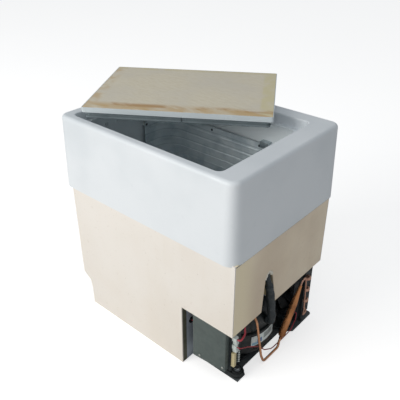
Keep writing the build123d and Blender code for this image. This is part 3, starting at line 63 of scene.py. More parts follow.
class Surface:
    """A procedural material, built up as a stack of tints, roughness changes and bumps."""

    def __init__(self, name, colour, rough=0.5, metal=0.0, specular=0.5, coat=0.0, coat_rough=0.2):
        self.material = bpy.data.materials.new(name)
        self.material.use_nodes = True
        self.tree = self.material.node_tree
        self.shader = self.tree.nodes["Principled BSDF"]
        self.shader.inputs["Base Color"].default_value = linear(colour)
        self.shader.inputs["Roughness"].default_value = rough
        self.shader.inputs["Metallic"].default_value = metal
        self.shader.inputs["Specular IOR Level"].default_value = specular
        self.shader.inputs["Coat Weight"].default_value = coat
        self.shader.inputs["Coat Roughness"].default_value = coat_rough
        self.place = self.node("ShaderNodeTexCoord").outputs["Object"]
        self.colour = None
        self.base = linear(colour)
        self.normal = None

    def node(self, kind):
        return self.tree.nodes.new(kind)

    def link(self, source, target):
        self.tree.links.new(source, target)

    def moved(self, scale=(1, 1, 1), location=(0, 0, 0), turn=0.0):
        """Place on the object, turned about Z and stretched, as a vector."""
        mapping = self.node("ShaderNodeMapping")
        mapping.vector_type = "POINT"
        mapping.inputs["Location"].default_value = location
        mapping.inputs["Rotation"].default_value = (0, 0, turn)
        mapping.inputs["Scale"].default_value = scale
        self.link(self.place, mapping.inputs["Vector"])
        return mapping.outputs["Vector"]

    def ramp(self, value, low, high, top=1.0, bottom=0.0):
        """Value rescaled so that low gives bottom and high gives top, smoothly."""
        ramp = self.node("ShaderNodeMapRange")
        ramp.interpolation_type = "SMOOTHSTEP"
        self.link(value, ramp.inputs["Value"])
        ramp.inputs["From Min"].default_value = low
        ramp.inputs["From Max"].default_value = high
        ramp.inputs["To Min"].default_value = bottom
        ramp.inputs["To Max"].default_value = top
        return ramp.outputs["Result"]

    def noise(
        self, size, low=0.35, high=0.65, top=1.0, detail=4, rough=0.55, stretch=(1, 1, 1), twist=0.0, turn=0.0
    ):
        """Cloudy mask whose features are about size metres across."""
        texture = self.node("ShaderNodeTexNoise")
        texture.inputs["Scale"].default_value = 1 / size
        texture.inputs["Detail"].default_value = detail
        texture.inputs["Roughness"].default_value = rough
        texture.inputs["Distortion"].default_value = twist
        self.link(self.moved(scale=stretch, turn=turn), texture.inputs["Vector"])
        return self.ramp(texture.outputs["Fac"], low, high, top)

    def specks(self, size, share=0.12, top=1.0):
        """Small separate spots."""
        texture = self.node("ShaderNodeTexVoronoi")
        texture.inputs["Scale"].default_value = 1 / size
        self.link(self.place, texture.inputs["Vector"])
        return self.ramp(texture.outputs["Distance"], share, 0.0, top)

    def along(self, axis, low, high, top=1.0, turn=0.0, centre=(0, 0, 0)):
        """Mask that rises along one axis from low to high, in metres."""
        parts = self.node("ShaderNodeSeparateXYZ")
        self.link(self.turned(turn, centre) if turn else self.place, parts.inputs["Vector"])
        return self.ramp(parts.outputs[axis], low, high, top)

    def turned(self, turn, centre):
        """Place in a frame with its origin at centre, turned about Z."""
        shift = self.node("ShaderNodeVectorMath")
        shift.operation = "SUBTRACT"
        self.link(self.place, shift.inputs[0])
        shift.inputs[1].default_value = centre
        spin = self.node("ShaderNodeVectorRotate")
        spin.rotation_type = "Z_AXIS"
        self.link(shift.outputs["Vector"], spin.inputs["Vector"])
        spin.inputs["Angle"].default_value = -turn
        return spin.outputs["Vector"]

    def both(self, a, b, operation="MULTIPLY"):
        maths = self.node("ShaderNodeMath")
        maths.operation = operation
        maths.use_clamp = True
        self.link(a, maths.inputs[0])
        self.link(b, maths.inputs[1])
        return maths.outputs["Value"]

    def facing(self, axis, low=0.4, high=0.9, top=1.0):
        """Mask of the faces whose normal points along one axis, either way."""
        geometry = self.node("ShaderNodeNewGeometry")
        parts = self.node("ShaderNodeSeparateXYZ")
        self.link(geometry.outputs["Normal"], parts.inputs["Vector"])
        size = self.node("ShaderNodeMath")
        size.operation = "ABSOLUTE"
        self.link(parts.outputs[axis], size.inputs[0])
        return self.ramp(size.outputs["Value"], low, high, top)

    def tint(self, mask, code):
        """Mix another colour in by a mask."""
        mix = self.node("ShaderNodeMix")
        mix.data_type = "RGBA"
        self.link(mask, mix.inputs["Factor"])
        if self.colour is None:
            mix.inputs[6].default_value = self.base
        else:
            self.link(self.colour, mix.inputs[6])
        mix.inputs[7].default_value = linear(code)
        self.colour = mix.outputs[2]
        self.link(self.colour, self.shader.inputs["Base Color"])
        return self

    def roughen(self, mask, low, high):
        self.link(self.ramp(mask, 0.0, 1.0, high, low), self.shader.inputs["Roughness"])
        return self

    def bump(self, height, depth, strength=1.0):
        """Raise the surface by depth metres where the mask is 1."""
        bump = self.node("ShaderNodeBump")
        bump.inputs["Strength"].default_value = strength
        bump.inputs["Distance"].default_value = depth
        self.link(height, bump.inputs["Height"])
        if self.normal is not None:
            self.link(self.normal, bump.inputs["Normal"])
        self.normal = bump.outputs["Normal"]
        self.link(self.normal, self.shader.inputs["Normal"])
        return self


def moulded(name, colour, shade, rough=0.36):
    """Smooth moulded plastic: slow shifts of tone, orange peel, fine scratches, faint dust."""
    s = Surface(name, colour, rough, specular=0.45, coat=0.15, coat_rough=0.25)
    s.tint(s.noise(0.28, 0.38, 0.7, 0.75, detail=3), shade)
    s.tint(s.noise(0.02, 0.60, 0.78, 0.25, detail=6), shade)
    s.tint(s.specks(0.021, 0.05, 0.35), "8E8F8C")
    s.roughen(s.noise(0.06, 0.3, 0.7, 1.0, detail=5), rough - 0.06, rough + 0.14)
    s.bump(s.noise(0.007, 0.2, 0.8, detail=2), 0.00022, 0.5)
    s.bump(s.noise(0.0018, 0.45, 0.75, stretch=(0.12, 1, 1), detail=3), 0.00006, 0.6)
    return s


def cream_sheet(name, colour, stain, stain_top, streak=(1, 1, 0.18)):
    """Thin unpainted facing over foam: mottled and streaked downwards."""
    s = Surface(name, colour, 0.62, specular=0.3)
    s.tint(s.noise(0.30, 0.35, 0.72, stain_top, detail=3), stain)
    s.tint(s.noise(0.09, 0.48, 0.75, stain_top * 0.7, stretch=streak, detail=5), stain)
    s.tint(s.noise(0.012, 0.58, 0.8, 0.2, detail=6), "B9A78F")
    s.tint(s.specks(0.034, 0.045, 0.5), "8A7A66")
    s.roughen(s.noise(0.05, 0.3, 0.7), 0.5, 0.72)
    s.bump(s.noise(0.06, 0.2, 0.8, detail=2), 0.0009, 0.35)
    s.bump(s.noise(0.0012, 0.3, 0.7, detail=4), 0.00008, 0.7)
    return s


def plain_plastic(name, colour, shade, rough=0.5, grain=0.0011, depth=0.00006):
    """Small moulded part with a fine spark-eroded grain."""
    s = Surface(name, colour, rough, specular=0.4)
    s.tint(s.noise(0.03, 0.4, 0.75, 0.6), shade)
    s.roughen(s.noise(0.012, 0.3, 0.7), rough - 0.08, rough + 0.12)
    s.bump(s.noise(grain, 0.3, 0.7, detail=3), depth, 0.8)
    return s


def metal(name, colour, shade, rough, metallic=1.0, brush=(1, 1, 1), size=0.0016, depth=0.00003):
    """Bare metal with brushing or tarnish."""
    s = Surface(name, colour, rough, metallic)
    s.tint(s.noise(0.03, 0.4, 0.7, 0.7, detail=5), shade)
    s.tint(s.noise(0.004, 0.5, 0.8, 0.4, detail=5, stretch=brush), shade)
    s.roughen(s.noise(0.008, 0.3, 0.7, stretch=brush), rough - 0.08, rough + 0.16)
    s.bump(s.noise(size, 0.3, 0.7, stretch=brush), depth, 0.7)
    return s


def dusty_black(name, colour="15181A", dust="6A6F6E", rough=0.38, coat=0.25):
    """Black stove enamel with dust lying on what faces up."""
    s = Surface(name, colour, rough, specular=0.5, coat=coat, coat_rough=0.3)
    s.tint(s.both(s.noise(0.02, 0.42, 0.72, 0.5, detail=6), s.facing("Z", 0.5, 0.95)), dust)
    s.tint(s.noise(0.006, 0.62, 0.8, 0.25, detail=5), "3A3D3C")
    s.roughen(s.noise(0.02, 0.35, 0.7, detail=5), rough - 0.08, rough + 0.22)
    s.bump(s.noise(0.0022, 0.3, 0.7, detail=3), 0.00012, 0.5)
    return s


def board_top(centre, turn, half_x, half_y):
    """Bare fibre board: paler band round the edge, brown water line along the front."""
    s = Surface("board", "E8DFCA", 0.7, specular=0.25)
    fibre = s.noise(0.004, 0.35, 0.75, 0.5, detail=6, stretch=(0.25, 1, 1), turn=-turn)
    s.tint(fibre, "D6CAAE")
    s.tint(s.noise(0.11, 0.36, 0.7, 0.6, detail=4), "DDD6C8")
    right = s.along("X", half_x - 0.034, half_x - 0.026, 0.8, turn, centre)
    back = s.along("Y", half_y - 0.022, half_y - 0.012, 0.7, turn, centre)
    s.tint(s.both(right, s.noise(0.03, 0.2, 0.6)), "DFD5AC")
    s.tint(s.both(back, s.noise(0.04, 0.25, 0.6)), "DCD2AE")
    front = s.along("Y", -half_y + 0.050, -half_y + 0.016, 1.0, turn, centre)
    wave = s.noise(0.045, 0.30, 0.62, 1.0, detail=4, stretch=(0.35, 1, 1), turn=-turn, twist=0.6)
    s.tint(s.both(front, wave), "D3B78C")
    line = s.both(
        s.along("Y", -half_y + 0.045, -half_y + 0.028, 1.0, turn, centre),
        s.along("Y", -half_y + 0.013, -half_y + 0.026, 1.0, turn, centre),
    )
    broken = s.noise(0.05, 0.42, 0.60, 0.8, detail=5, stretch=(0.5, 1, 1), turn=-turn, twist=1.0)
    s.tint(s.both(line, broken), "B98F5F")
    left = s.along("X", -half_x + 0.030, -half_x + 0.012, 0.7, turn, centre)
    s.tint(s.both(left, s.noise(0.03, 0.35, 0.65)), "D2B68C")
    s.tint(s.specks(0.030, 0.04, 0.5), "8F7B57")
    s.roughen(s.noise(0.02, 0.3, 0.7), 0.58, 0.82)
    s.bump(s.noise(0.0016, 0.3, 0.75, detail=5, stretch=(0.3, 1, 1), turn=-turn), 0.00016, 0.7)
    s.bump(s.noise(0.09, 0.2, 0.8), 0.0008, 0.3)
    return s


def cold_plate():
    """Rolled aluminium with the bloom of old frost."""
    # The pale base is partly the frosted aluminium and partly painted light: it is made paler still to
    # brighten the shaded cavity.
    s = Surface("cold_plate", "E4ECEF", 0.42, 0.30, specular=0.5)
    s.tint(s.noise(0.05, 0.40, 0.72, 0.8, detail=5), "B4C2C9")
    s.tint(s.noise(0.006, 0.45, 0.8, 0.5, detail=6, stretch=(0.15, 0.15, 1)), "E0E8EB")
    s.tint(s.noise(0.02, 0.62, 0.8, 0.4, detail=6), "93A1A8")
    wave = s.node("ShaderNodeTexWave")
    wave.bands_direction = "Z"
    wave.inputs["Scale"].default_value = 14.0
    wave.inputs["Distortion"].default_value = 0.6
    wave.inputs["Detail"].default_value = 2.0
    s.link(s.place, wave.inputs["Vector"])
    seams = s.ramp(wave.outputs["Fac"], 0.92, 0.99, 0.32)
    s.tint(seams, "8C9AA1")
    s.roughen(s.noise(0.012, 0.3, 0.7, detail=5), 0.34, 0.62)
    s.bump(s.noise(0.002, 0.3, 0.7, detail=4), 0.00008, 0.8)
    s.bump(seams, -0.0008, 0.5)
    return s


def copper(name="copper", colour="EBAE84", tarnish="BE8059", top=0.55):
    """Drawn tube: bright in places, brown where it has been handled or heated."""
    s = Surface(name, colour, 0.32, 0.92)
    s.tint(s.noise(0.045, 0.40, 0.68, top, detail=4), tarnish)
    s.tint(s.noise(0.006, 0.58, 0.8, 0.45, detail=6), "6E4A35")
    s.tint(s.noise(0.02, 0.58, 0.78, 0.45, detail=4), "F0BC96")
    s.roughen(s.noise(0.010, 0.3, 0.7, detail=5), 0.24, 0.55)
    s.bump(s.noise(0.0015, 0.3, 0.7), 0.00004, 0.7)
    return s


def closed_cell(name="closed_cell"):
    """Black sleeve of closed-cell foam."""
    s = Surface(name, "2A3033", 0.66, specular=0.35)
    s.tint(s.noise(0.02, 0.35, 0.7, 0.7, detail=5), "3C4448")
    s.tint(s.noise(0.004, 0.55, 0.8, 0.4, detail=6), "161A1C")
    s.roughen(s.noise(0.01, 0.3, 0.7), 0.5, 0.78)
    s.bump(s.noise(0.0012, 0.3, 0.7, detail=4), 0.00012, 0.9)
    s.bump(s.noise(0.012, 0.25, 0.75, stretch=(1, 1, 1.6)), 0.0006, 0.6)
    return s


def name_plate(low, high):
    """Printed film: a colour block and rows of grey bars that say nothing."""
    s = Surface("name_plate", "EEF5F2", 0.38, specular=0.5, coat=0.3)
    y_of = lambda share: low.y + share * (high.y - low.y)
    z_of = lambda share: low.z + share * (high.z - low.z)

    def patch(y0, y1, z0, z1, top=1.0):
        edge = 0.0006
        across = s.both(s.along("Y", y_of(y0), y_of(y0) + edge), s.along("Y", y_of(y1), y_of(y1) - edge))
        up = s.both(s.along("Z", z_of(z0), z_of(z0) + edge), s.along("Z", z_of(z1), z_of(z1) - edge, top))
        return s.both(across, up)

    s.tint(s.noise(0.02, 0.4, 0.7, 0.5), "DFE8E4")
    s.tint(patch(0.02, 0.28, 0.06, 0.34, 0.9), "8FC3DA")
    s.tint(patch(0.20, 0.40, 0.12, 0.60, 0.9), "4E7FB4")
    s.tint(patch(0.46, 0.93, 0.30, 0.90, 0.75), "8C9290")
    for row in range(4):
        level = 0.36 + row * 0.14
        s.tint(patch(0.50, 0.90 - 0.08 * (row % 2), level, level + 0.055, 0.8), "4A504F")
    s.roughen(s.noise(0.006, 0.3, 0.7), 0.3, 0.5)
    s.bump(s.noise(0.003, 0.3, 0.7), 0.00005, 0.6)
    return s


# ------------------------------------------------------------------ finishing CAD nodes
SHARP_ANGLE = radians(32)


def finish_node(node, surface, bevel=0.0, sharp=SHARP_ANGLE):
    """Give a CAD node its material, smooth shading and, where it is square, softened edges."""
    obj = NODES[node]
    obj.data.materials.clear()
    obj.data.materials.append(surface.material)
    smooth(obj, sharp)
    if bevel:
        soften(obj, bevel)
    return obj


def smooth(obj, sharp=SHARP_ANGLE):
    """Smooth shading that stops at edges sharper than the given angle."""
    mesh = obj.data
    mesh.polygons.foreach_set("use_smooth", [True] * len(mesh.polygons))
    mesh.set_sharp_from_angle(angle=sharp)


def soften(obj, width, segments=2, limit=radians(40)):
    """Narrow rounded edges that catch the light."""
    bevel = obj.modifiers.new("soft_edges", "BEVEL")
    bevel.width = width
    bevel.segments = segments
    bevel.limit_method = "ANGLE"
    bevel.angle_limit = limit
    bevel.harden_normals = False
    return bevel


# ------------------------------------------------------------------ making pieces
def piece(name, mesh, surface, body, stands_for=(), shade=True):
    """Link a mesh or curve into the scene as a piece that rides on a body."""
    obj = bpy.data.objects.new(name, mesh)
    bpy.context.scene.collection.objects.link(obj)
    mesh.materials.append(surface.material)
    if shade and obj.type == "MESH":
        smooth(obj)
    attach(obj, body)
    if stands_for:
        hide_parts(*stands_for)
    return obj


def mesh_of(build):
    """Mesh from a function that fills a bmesh."""
    bm = bmesh.new()
    build(bm)
    bmesh.ops.recalc_face_normals(bm, faces=bm.faces)
    mesh = bpy.data.meshes.new("mesh")
    bm.to_mesh(mesh)
    bm.free()
    return mesh


def add_block(bm, low, high, matrix=Matrix.Identity(4)):
    """Box between two corners, with an optional placement."""
    size = Vector(high) - Vector(low)
    middle = (Vector(high) + Vector(low)) / 2
    place = matrix @ Matrix.Translation(middle) @ Matrix.Diagonal((*size, 1))
    return bmesh.ops.create_cube(bm, size=1.0, matrix=place)["verts"]


def add_lathe(bm, profile, place, steps=24):
    """Turned solid: profile is a list of (radius, height) from one end on the axis to the other."""
    rings = []
    for radius, height in profile:
        if radius < 1e-6:
            rings.append([bm.verts.new(place @ Vector((0, 0, height)))])
            continue
        ring = []
        for i in range(steps):
            a = 2 * pi * i / steps
            ring.append(bm.verts.new(place @ Vector((radius * cos(a), radius * sin(a), height))))
        rings.append(ring)
    for lower, upper in zip(rings, rings[1:]):
        for i in range(steps):
            j = (i + 1) % steps
            if len(lower) == 1:
                bm.faces.new((lower[0], upper[j], upper[i]))
            elif len(upper) == 1:
                bm.faces.new((lower[i], lower[j], upper[0]))
            else:
                bm.faces.new((lower[i], lower[j], upper[j], upper[i]))


def facing_place(position, direction):
    """Placement whose local +Z points along a direction."""
    turn = Vector(direction).to_track_quat("Z", "Y").to_matrix().to_4x4()
    return Matrix.Translation(Vector(position)) @ turn


def spline(name, points, radius, order=3, resolution=10, sides=6):
    """Round cord as one NURBS curve through the neighbourhood of the given points."""
    curve = bpy.data.curves.new(name, "CURVE")
    curve.dimensions = "3D"
    curve.bevel_depth = radius
    curve.bevel_resolution = sides
    curve.use_fill_caps = True
    line = curve.splines.new("NURBS")
    line.points.add(len(points) - 1)
    for point, place in zip(line.points, points):
        point.co = (*place, 1.0)
    line.order_u = order
    line.use_endpoint_u = True
    line.resolution_u = resolution
    return curve


def path_points(points, order=3, resolution=14):
    """Points along the NURBS line of a route, as Blender evaluates it."""
    curve = spline("path", points, 0.0, order, resolution)
    obj = bpy.data.objects.new("path", curve)
    mesh = bpy.data.meshes.new_from_object(obj)
    found = [v.co.copy() for v in mesh.vertices]
    bpy.data.objects.remove(obj)
    bpy.data.curves.remove(curve)
    bpy.data.meshes.remove(mesh)
    return found


def add_tube(bm, line, radius_at, steps=20, wrinkle=None):
    """Closed tube along a list of points; radius_at(share) and wrinkle(share, angle) in metres."""
    lengths = [0.0]
    for a, b in zip(line, line[1:]):
        lengths.append(lengths[-1] + (b - a).length)
    up = Vector((1, 0, 0))
    rings = []
    for i, place in enumerate(line):
        ahead = line[min(i + 1, len(line) - 1)] - line[max(i - 1, 0)]
        ahead.normalize()
        side = (up - ahead * up.dot(ahead)).normalized()
        across = ahead.cross(side)
        share = lengths[i] / lengths[-1]
        ring = []
        for k in range(steps):
            a = 2 * pi * k / steps
            reach = radius_at(share) + (wrinkle(share, a) if wrinkle else 0.0)
            ring.append(bm.verts.new(place + (side * cos(a) + across * sin(a)) * reach))
        rings.append(ring)
    for lower, upper in zip(rings, rings[1:]):
        for k in range(steps):
            j = (k + 1) % steps
            bm.faces.new((lower[k], lower[j], upper[j], upper[k]))
    bm.faces.new(rings[0])
    bm.faces.new(rings[-1])


# ------------------------------------------------------------------ materials of the CAD nodes
collar_skin = moulded("collar_skin", "EDF1F4", "DCE2E6")
# The liner's near-white is partly its own colour and partly painted light: it is made paler still to brighten
# the shaded cavity.
liner_skin = moulded("liner_skin", "EAF0F2", "DCE4E8", 0.34)
front_sheet = cream_sheet("front_sheet", "F3EDE5", "E9DFD1", 0.5)
side_sheet = cream_sheet("side_sheet", "FBEBD2", "DAC5AC", 0.7, (1, 0.5, 0.3))
# Painted light: the right panel's sheet turns paler towards its front end, where it is lit more.
side_sheet.tint(side_sheet.along("Y", -0.100, -0.170, 0.9), "FFF0CE")
end_sheet = cream_sheet("end_sheet", "E8DED0", "D5C5AF", 0.6)
# Painted light: the bay's sheet is coloured much paler than the grey sheet itself, to lift it out of its
# shade.
bay_sheet = plain_plastic("bay_sheet", "C3CCD6", "AAB4BF", 0.42, 0.002)
# Painted shade: the corner strip is the cream edge of the cut panel, coloured olive-dark as it looks in
# shade.
shaded_strip_skin = plain_plastic("shaded_strip_skin", "6A6A58", "4C4D40", 0.6, 0.003, 0.0001)
foam_skin = cream_sheet("foam_skin", "D6CBAA", "C2B48E", 0.8)
rubber_skin = plain_plastic("rubber_skin", "1C1F20", "2C3031", 0.62, 0.0016, 0.0001)
seal_foam = cream_sheet("seal_foam", "FBF8EE", "DDD6C4", 0.6)
plate_skin = plain_plastic("plate_skin", "5B6062", "43484A", 0.5, 0.0025, 0.0001)
shell_skin = dusty_black("shell_skin", "0C1314", "1C2526", 0.34, 0.15)
bracket_skin = dusty_black("bracket_skin", "1B1F21", "5F6463", 0.5, 0.0)
fan_skin = dusty_black("fan_skin", "1A1D1F", "63696A", 0.55, 0.0)
duct_skin = dusty_black("duct_skin", "24292B", "6B7273", 0.5, 0.0)
fin_skin = metal("fin_skin", "3C4347", "23282B", 0.5, 0.5, (1, 1, 0.2))
zinc = metal("zinc", "B4B8BA", "8D9294", 0.38)
dark_zinc = metal("dark_zinc", "6B7072", "4B5052", 0.45)
lamination = metal("lamination", "6F7274", "3D4042", 0.5, 0.8, (1, 1, 8))
casting = metal("casting", "84878A", "5A5D60", 0.45, 0.9)
spring_steel = metal("spring_steel", "9DA0A2", "6F7274", 0.32)
tinned = metal("tinned", "C9CBC6", "A0A29D", 0.35)
cover_skin = plain_plastic("cover_skin", "56605D", "4B5552", 0.46, 0.0013, 0.00007)
unit_skin = plain_plastic("unit_skin", "2A3133", "1E2426", 0.5, 0.0015, 0.00008)
circuit_skin = plain_plastic("circuit_skin", "2E5B3A", "23482E", 0.4, 0.003)
sleeve_white = plain_plastic("sleeve_white", "DCE3DE", "C3CCC5", 0.4, 0.002)
knob_white = plain_plastic("knob_white", "E3E6E4", "CDD2D0", 0.38, 0.0015)
cream_plastic = plain_plastic("cream_plastic", "D9CBA0", "C2B184", 0.45, 0.0015)
red_wire = plain_plastic("red_wire", "B23F49", "8C2A35", 0.36, 0.0012)
lid_edge_skin = moulded("lid_edge_skin", "DCE3E5", "CCD5D8", 0.32)
lid_seal_skin = plain_plastic("lid_seal_skin", "7C878B", "667175", 0.55, 0.002, 0.0001)
plate_metal = cold_plate()
copper_tube = copper()
copper_dark = copper("copper_dark", "E8A26C", "A06A48", 0.7)
copper_dark.tint(copper_dark.along("Z", 0.085, 0.035, 0.6), "7A4B30")
copper_pink = copper("copper_pink", "EDBBA3", "C58F79", 0.5)
sleeve_foam = closed_cell()
sleeve_foam.shader.inputs["Coat Weight"].default_value = 0.25

label_low, label_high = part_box("compressor_label")
name_plate_skin = name_plate(label_low, label_high)

board_low, board_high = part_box("lid_board")
LID_TURN = radians(32.8)
LID_HALF = (0.2164, 0.1579)
lid_middle = (board_low + board_high) / 2
board_skin = board_top((lid_middle.x, lid_middle.y, 0), LID_TURN, *LID_HALF)

for node, surface, bevel in (
    ("collar", collar_skin, 0),
    ("inner_liner", liner_skin, 0),
    ("insulation_foam", foam_skin, 0),
    ("front_panel", front_sheet, 0.0008),
    ("left_panel", end_sheet, 0.0008),
    ("back_panel", end_sheet, 0.0008),
    ("right_panel", side_sheet, 0.0006),
    ("bottom_panel", end_sheet, 0.0006),
    ("bay_ceiling_panel", bay_sheet, 0),
    ("bay_side_panel", bay_sheet, 0),
    ("bay_corner_strip", shaded_strip_skin, 0.0006),
    ("wall_grommets", rubber_skin, 0.0004),
    ("hose_seal", seal_foam, 0),
    ("evaporator_plate", plate_metal, 0),
    ("evaporator_screws", dark_zinc, 0),
    ("evaporator_spacers", knob_white, 0.0003),
    ("thermostat_housing", knob_white, 0),
    ("thermostat_knob", knob_white, 0.0003),
    ("thermostat_sensor_tube", tinned, 0),
    ("unit_base_plate", plate_skin, 0.0005),
    ("unit_mount_screws", zinc, 0.0003),
    ("rubber_grommets", rubber_skin, 0.0006),
    ("grommet_bolts", zinc, 0.0004),
    ("compressor_bracket", bracket_skin, 0.0005),
    ("compressor_lower_shell", shell_skin, 0.0005),
    ("compressor_upper_shell", shell_skin, 0.0005),
    ("compressor_springs", spring_steel, 0),
    ("compressor_stator", lamination, 0.0004),
    ("compressor_rotor", casting, 0.0004),
    ("cylinder_block", casting, 0.0006),
    ("compressor_label", name_plate_skin, 0),
    ("electronic_unit_cover", cover_skin, 0),
    ("electronic_unit_base", unit_skin, 0.0006),
    ("circuit_board", circuit_skin, 0.0004),
    ("cover_screws", tinned, 0),
    ("earth_tab", tinned, 0.0003),
    ("spade_terminals", sleeve_white, 0.0006),
    ("connector_block", cream_plastic, 0.0004),
    ("pin_comb", unit_skin, 0.0003),
    ("fan_frame", fan_skin, 0.0006),
    ("fan_rotor", fan_skin, 0.0004),
    ("fan_shroud", duct_skin, 0.0004),
    ("condenser_fins", fin_skin, 0),
    ("condenser_end_plates", duct_skin, 0.0003),
    ("condenser_tubes", copper_pink, 0),
    ("condenser_outlet_line", copper_pink, 0),
    ("filter_drier", copper_dark, 0),
    ("liquid_line", copper_tube, 0),
    ("discharge_line", copper_tube, 0),
    ("suction_line", copper_tube, 0),
    ("suction_sleeves", sleeve_foam, 0),
    ("process_tube", copper_tube, 0),
    ("power_lead", red_wire, 0),
    ("fan_lead", red_wire, 0),
    ("sensor_lead", red_wire, 0),
    ("lid_board", board_skin, 0.0003),
    ("lid_edge_frame", lid_edge_skin, 0.0005),
    ("lid_foam_core", foam_skin, 0),
    ("lid_inner_tray", lid_edge_skin, 0),
    ("lid_seal", lid_seal_skin, 0),
):
    finish_node(node, surface, bevel)


# ------------------------------------------------------------------ pieces over the CAD nodes
dirt_skin = plain_plastic("dirt_skin", "A29F97", "6B6962", 0.8, 0.003, 0.0002)
plug_skin = plain_plastic("plug_skin", "D3DADD", "B9C2C6", 0.4, 0.002)
clip_skin = metal("clip_skin", "C3CCD0", "9CA7AC", 0.4)

FIN_COUNT = 64
FIN_HALF = 0.00011          # half the sheet's thickness
FIN_LEAN = 0.0005
PIN_COUNT = 7
PIN_FIRST = 0.0025
PIN_PITCH = 0.0056
HOSE_JOINT = 0.69           # share of the hose's length where the thinner sleeve begins
HOSE_RADIUS = 0.0098
HOSE_STEP = 0.0028
HOSE_WAVE = 0.0004


def ripple(seed, size, depth):
    """Uneven radius: soft lumps about size metres long and depth metres high."""
    def height(place):
        return depth * noise.noise((Vector(place) + Vector((seed, 0, 0))) / size)
    return height


def add_ring(bm, middle, half_x, half_y, radius, steps=160, sides=8, height=None):
    """Closed bead round an ellipse that lies flat."""
    rings = []
    for i in range(steps):
        a = 2 * pi * i / steps
        outward = Vector((cos(a) / half_x, sin(a) / half_y, 0)).normalized()
        place = Vector(middle) + Vector((half_x * cos(a), half_y * sin(a), 0))
        reach = radius + (height(place) if height else 0.0)
        ring = []
        for k in range(sides):
            b = 2 * pi * k / sides
            ring.append(bm.verts.new(place + outward * reach * cos(b) + Vector((0, 0, reach * sin(b)))))
        rings.append(ring)
    for lower, upper in zip(rings, rings[1:] + rings[:1]):
        for k in range(sides):
            j = (k + 1) % sides
            bm.faces.new((lower[k], lower[j], upper[j], upper[k]))


def fin_pack():
    """Close-set thin fins, a few of them pushed slightly out of line."""
    low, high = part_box("condenser_fins")
    middle = (low.y + high.y) / 2

    def build(bm):
        for i in range(FIN_COUNT):
            x = low.x + (high.x - low.x) * (i + 0.5) / FIN_COUNT
            lean = random.uniform(-FIN_LEAN, FIN_LEAN)
            corners = add_block(bm, (x - FIN_HALF, low.y, low.z), (x + FIN_HALF, high.y, high.z))
            for corner in corners:
                if corner.co.y < middle:
                    corner.co.x += lean
    return piece("fin_pack", mesh_of(build), fin_skin, "cabinet", ["condenser_fins"], False)


def suction_hose():
    """Foam sleeve round the suction line: a thick lower length and a thinner one above it."""
    low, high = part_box("suction_sleeves")
    corner = Vector((high.x, high.y, high.z))
    route = [
        (-30, -8.4, -186), (-17, -8.4, -185), (-9.4, -8.9, -184), (-9, -11.4, -160),
        (-9, -19.4, -114), (-10, -30, -64), (-12, -33.5, -45), (-24, -38.4, -2),
    ]
    line = path_points([corner + Vector(step) * MM for step in route], 3, 16)
    lump = ripple(3.0, 0.011, 0.0009)
    fine = ripple(9.0, 0.0035, 0.0004)

    def radius_at(share):
        if share < HOSE_JOINT:
            return HOSE_RADIUS + HOSE_WAVE * sin(share * 38)
        return HOSE_RADIUS - HOSE_STEP * min(1.0, (share - HOSE_JOINT) / 0.012)

    def wrinkle(share, angle):
        place = (share * 0.2, 0.01 * cos(angle), 0.01 * sin(angle))
        return lump(place) + fine(place)

    mesh = mesh_of(lambda bm: add_tube(bm, line, radius_at, 24, wrinkle))
    return piece("suction_hose", mesh, sleeve_foam, "cabinet", ["suction_sleeves"])


def torn_seal():
    """Soft foam squeezed out round the top of the hose's slot."""
    low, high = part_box("hose_seal")
    x = high.x - 0.0005
    middle = (low.y + high.y) / 2
    route = [
        (x, low.y + 0.002, low.z - 0.004), (x, low.y + 0.003, high.z - 0.007), (x, middle, high.z - 0.001),
        (x, high.y - 0.003, high.z - 0.007), (x, high.y - 0.002, low.z - 0.002),
    ]
    line = path_points([Vector(place) for place in route], 3, 18)
    lump = ripple(5.0, 0.006, 0.0022)

    def wrinkle(share, angle):
        return lump((share * 0.06, 0.004 * cos(angle), 0.004 * sin(angle)))

    mesh = mesh_of(lambda bm: add_tube(bm, line, lambda share: 0.0036, 14, wrinkle))
    return piece("torn_seal", mesh, seal_foam, "cabinet", ["hose_seal"])


def weld_bead():
    """Ripple of weld metal round the compressor's seam."""
    low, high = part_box("compressor_upper_shell")
    middle = Vector(((low.x + high.x) / 2, (low.y + high.y) / 2, low.z))
    half_x, half_y = (high.x - low.x) / 2 + 0.0002, (high.y - low.y) / 2 + 0.0002
    height = ripple(1.0, 0.004, 0.0005)
    mesh = mesh_of(lambda bm: add_ring(bm, middle, half_x, half_y, 0.0016, 220, 8, height))
    return piece("weld_bead", mesh, shell_skin, "cabinet")


def liner_plugs():
    """Two domed plugs in the liner's left wall."""
    low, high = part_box("inner_liner")
    wall = low.x + 0.0088
    profile = [
        (0, -0.0010), (0.0052, -0.0010), (0.0054, 0.0006), (0.0044, 0.0016), (0.0022, 0.0021), (0, 0.0022),
    ]

    def build(bm):
        for y, z in ((0.078, -0.0235), (0.110, -0.0215)):
            add_lathe(bm, profile, facing_place((wall, low.y + y, high.z + z), (1, 0, 0)), 20)
    return piece("liner_plugs", mesh_of(build), plug_skin, "cabinet")


def plate_clip():
    """Folded tab that holds the loose end of the cold plate to the wall."""
    low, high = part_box("evaporator_plate")
    x, y, z = high.x, high.y, high.z

    def build(bm):
        add_block(bm, (x - 0.011, y - 0.0048, z - 0.011), (x + 0.013, y - 0.0036, z + 0.005))
        add_block(bm, (x - 0.011, y - 0.0048, z + 0.0045), (x + 0.013, y + 0.010, z + 0.0057))
        add_block(bm, (x + 0.0118, y - 0.0048, z - 0.011), (x + 0.013, y + 0.010, z + 0.0057))
    obj = piece("plate_clip", mesh_of(build), clip_skin, "cabinet")
    soften(obj, 0.0006)
    return obj


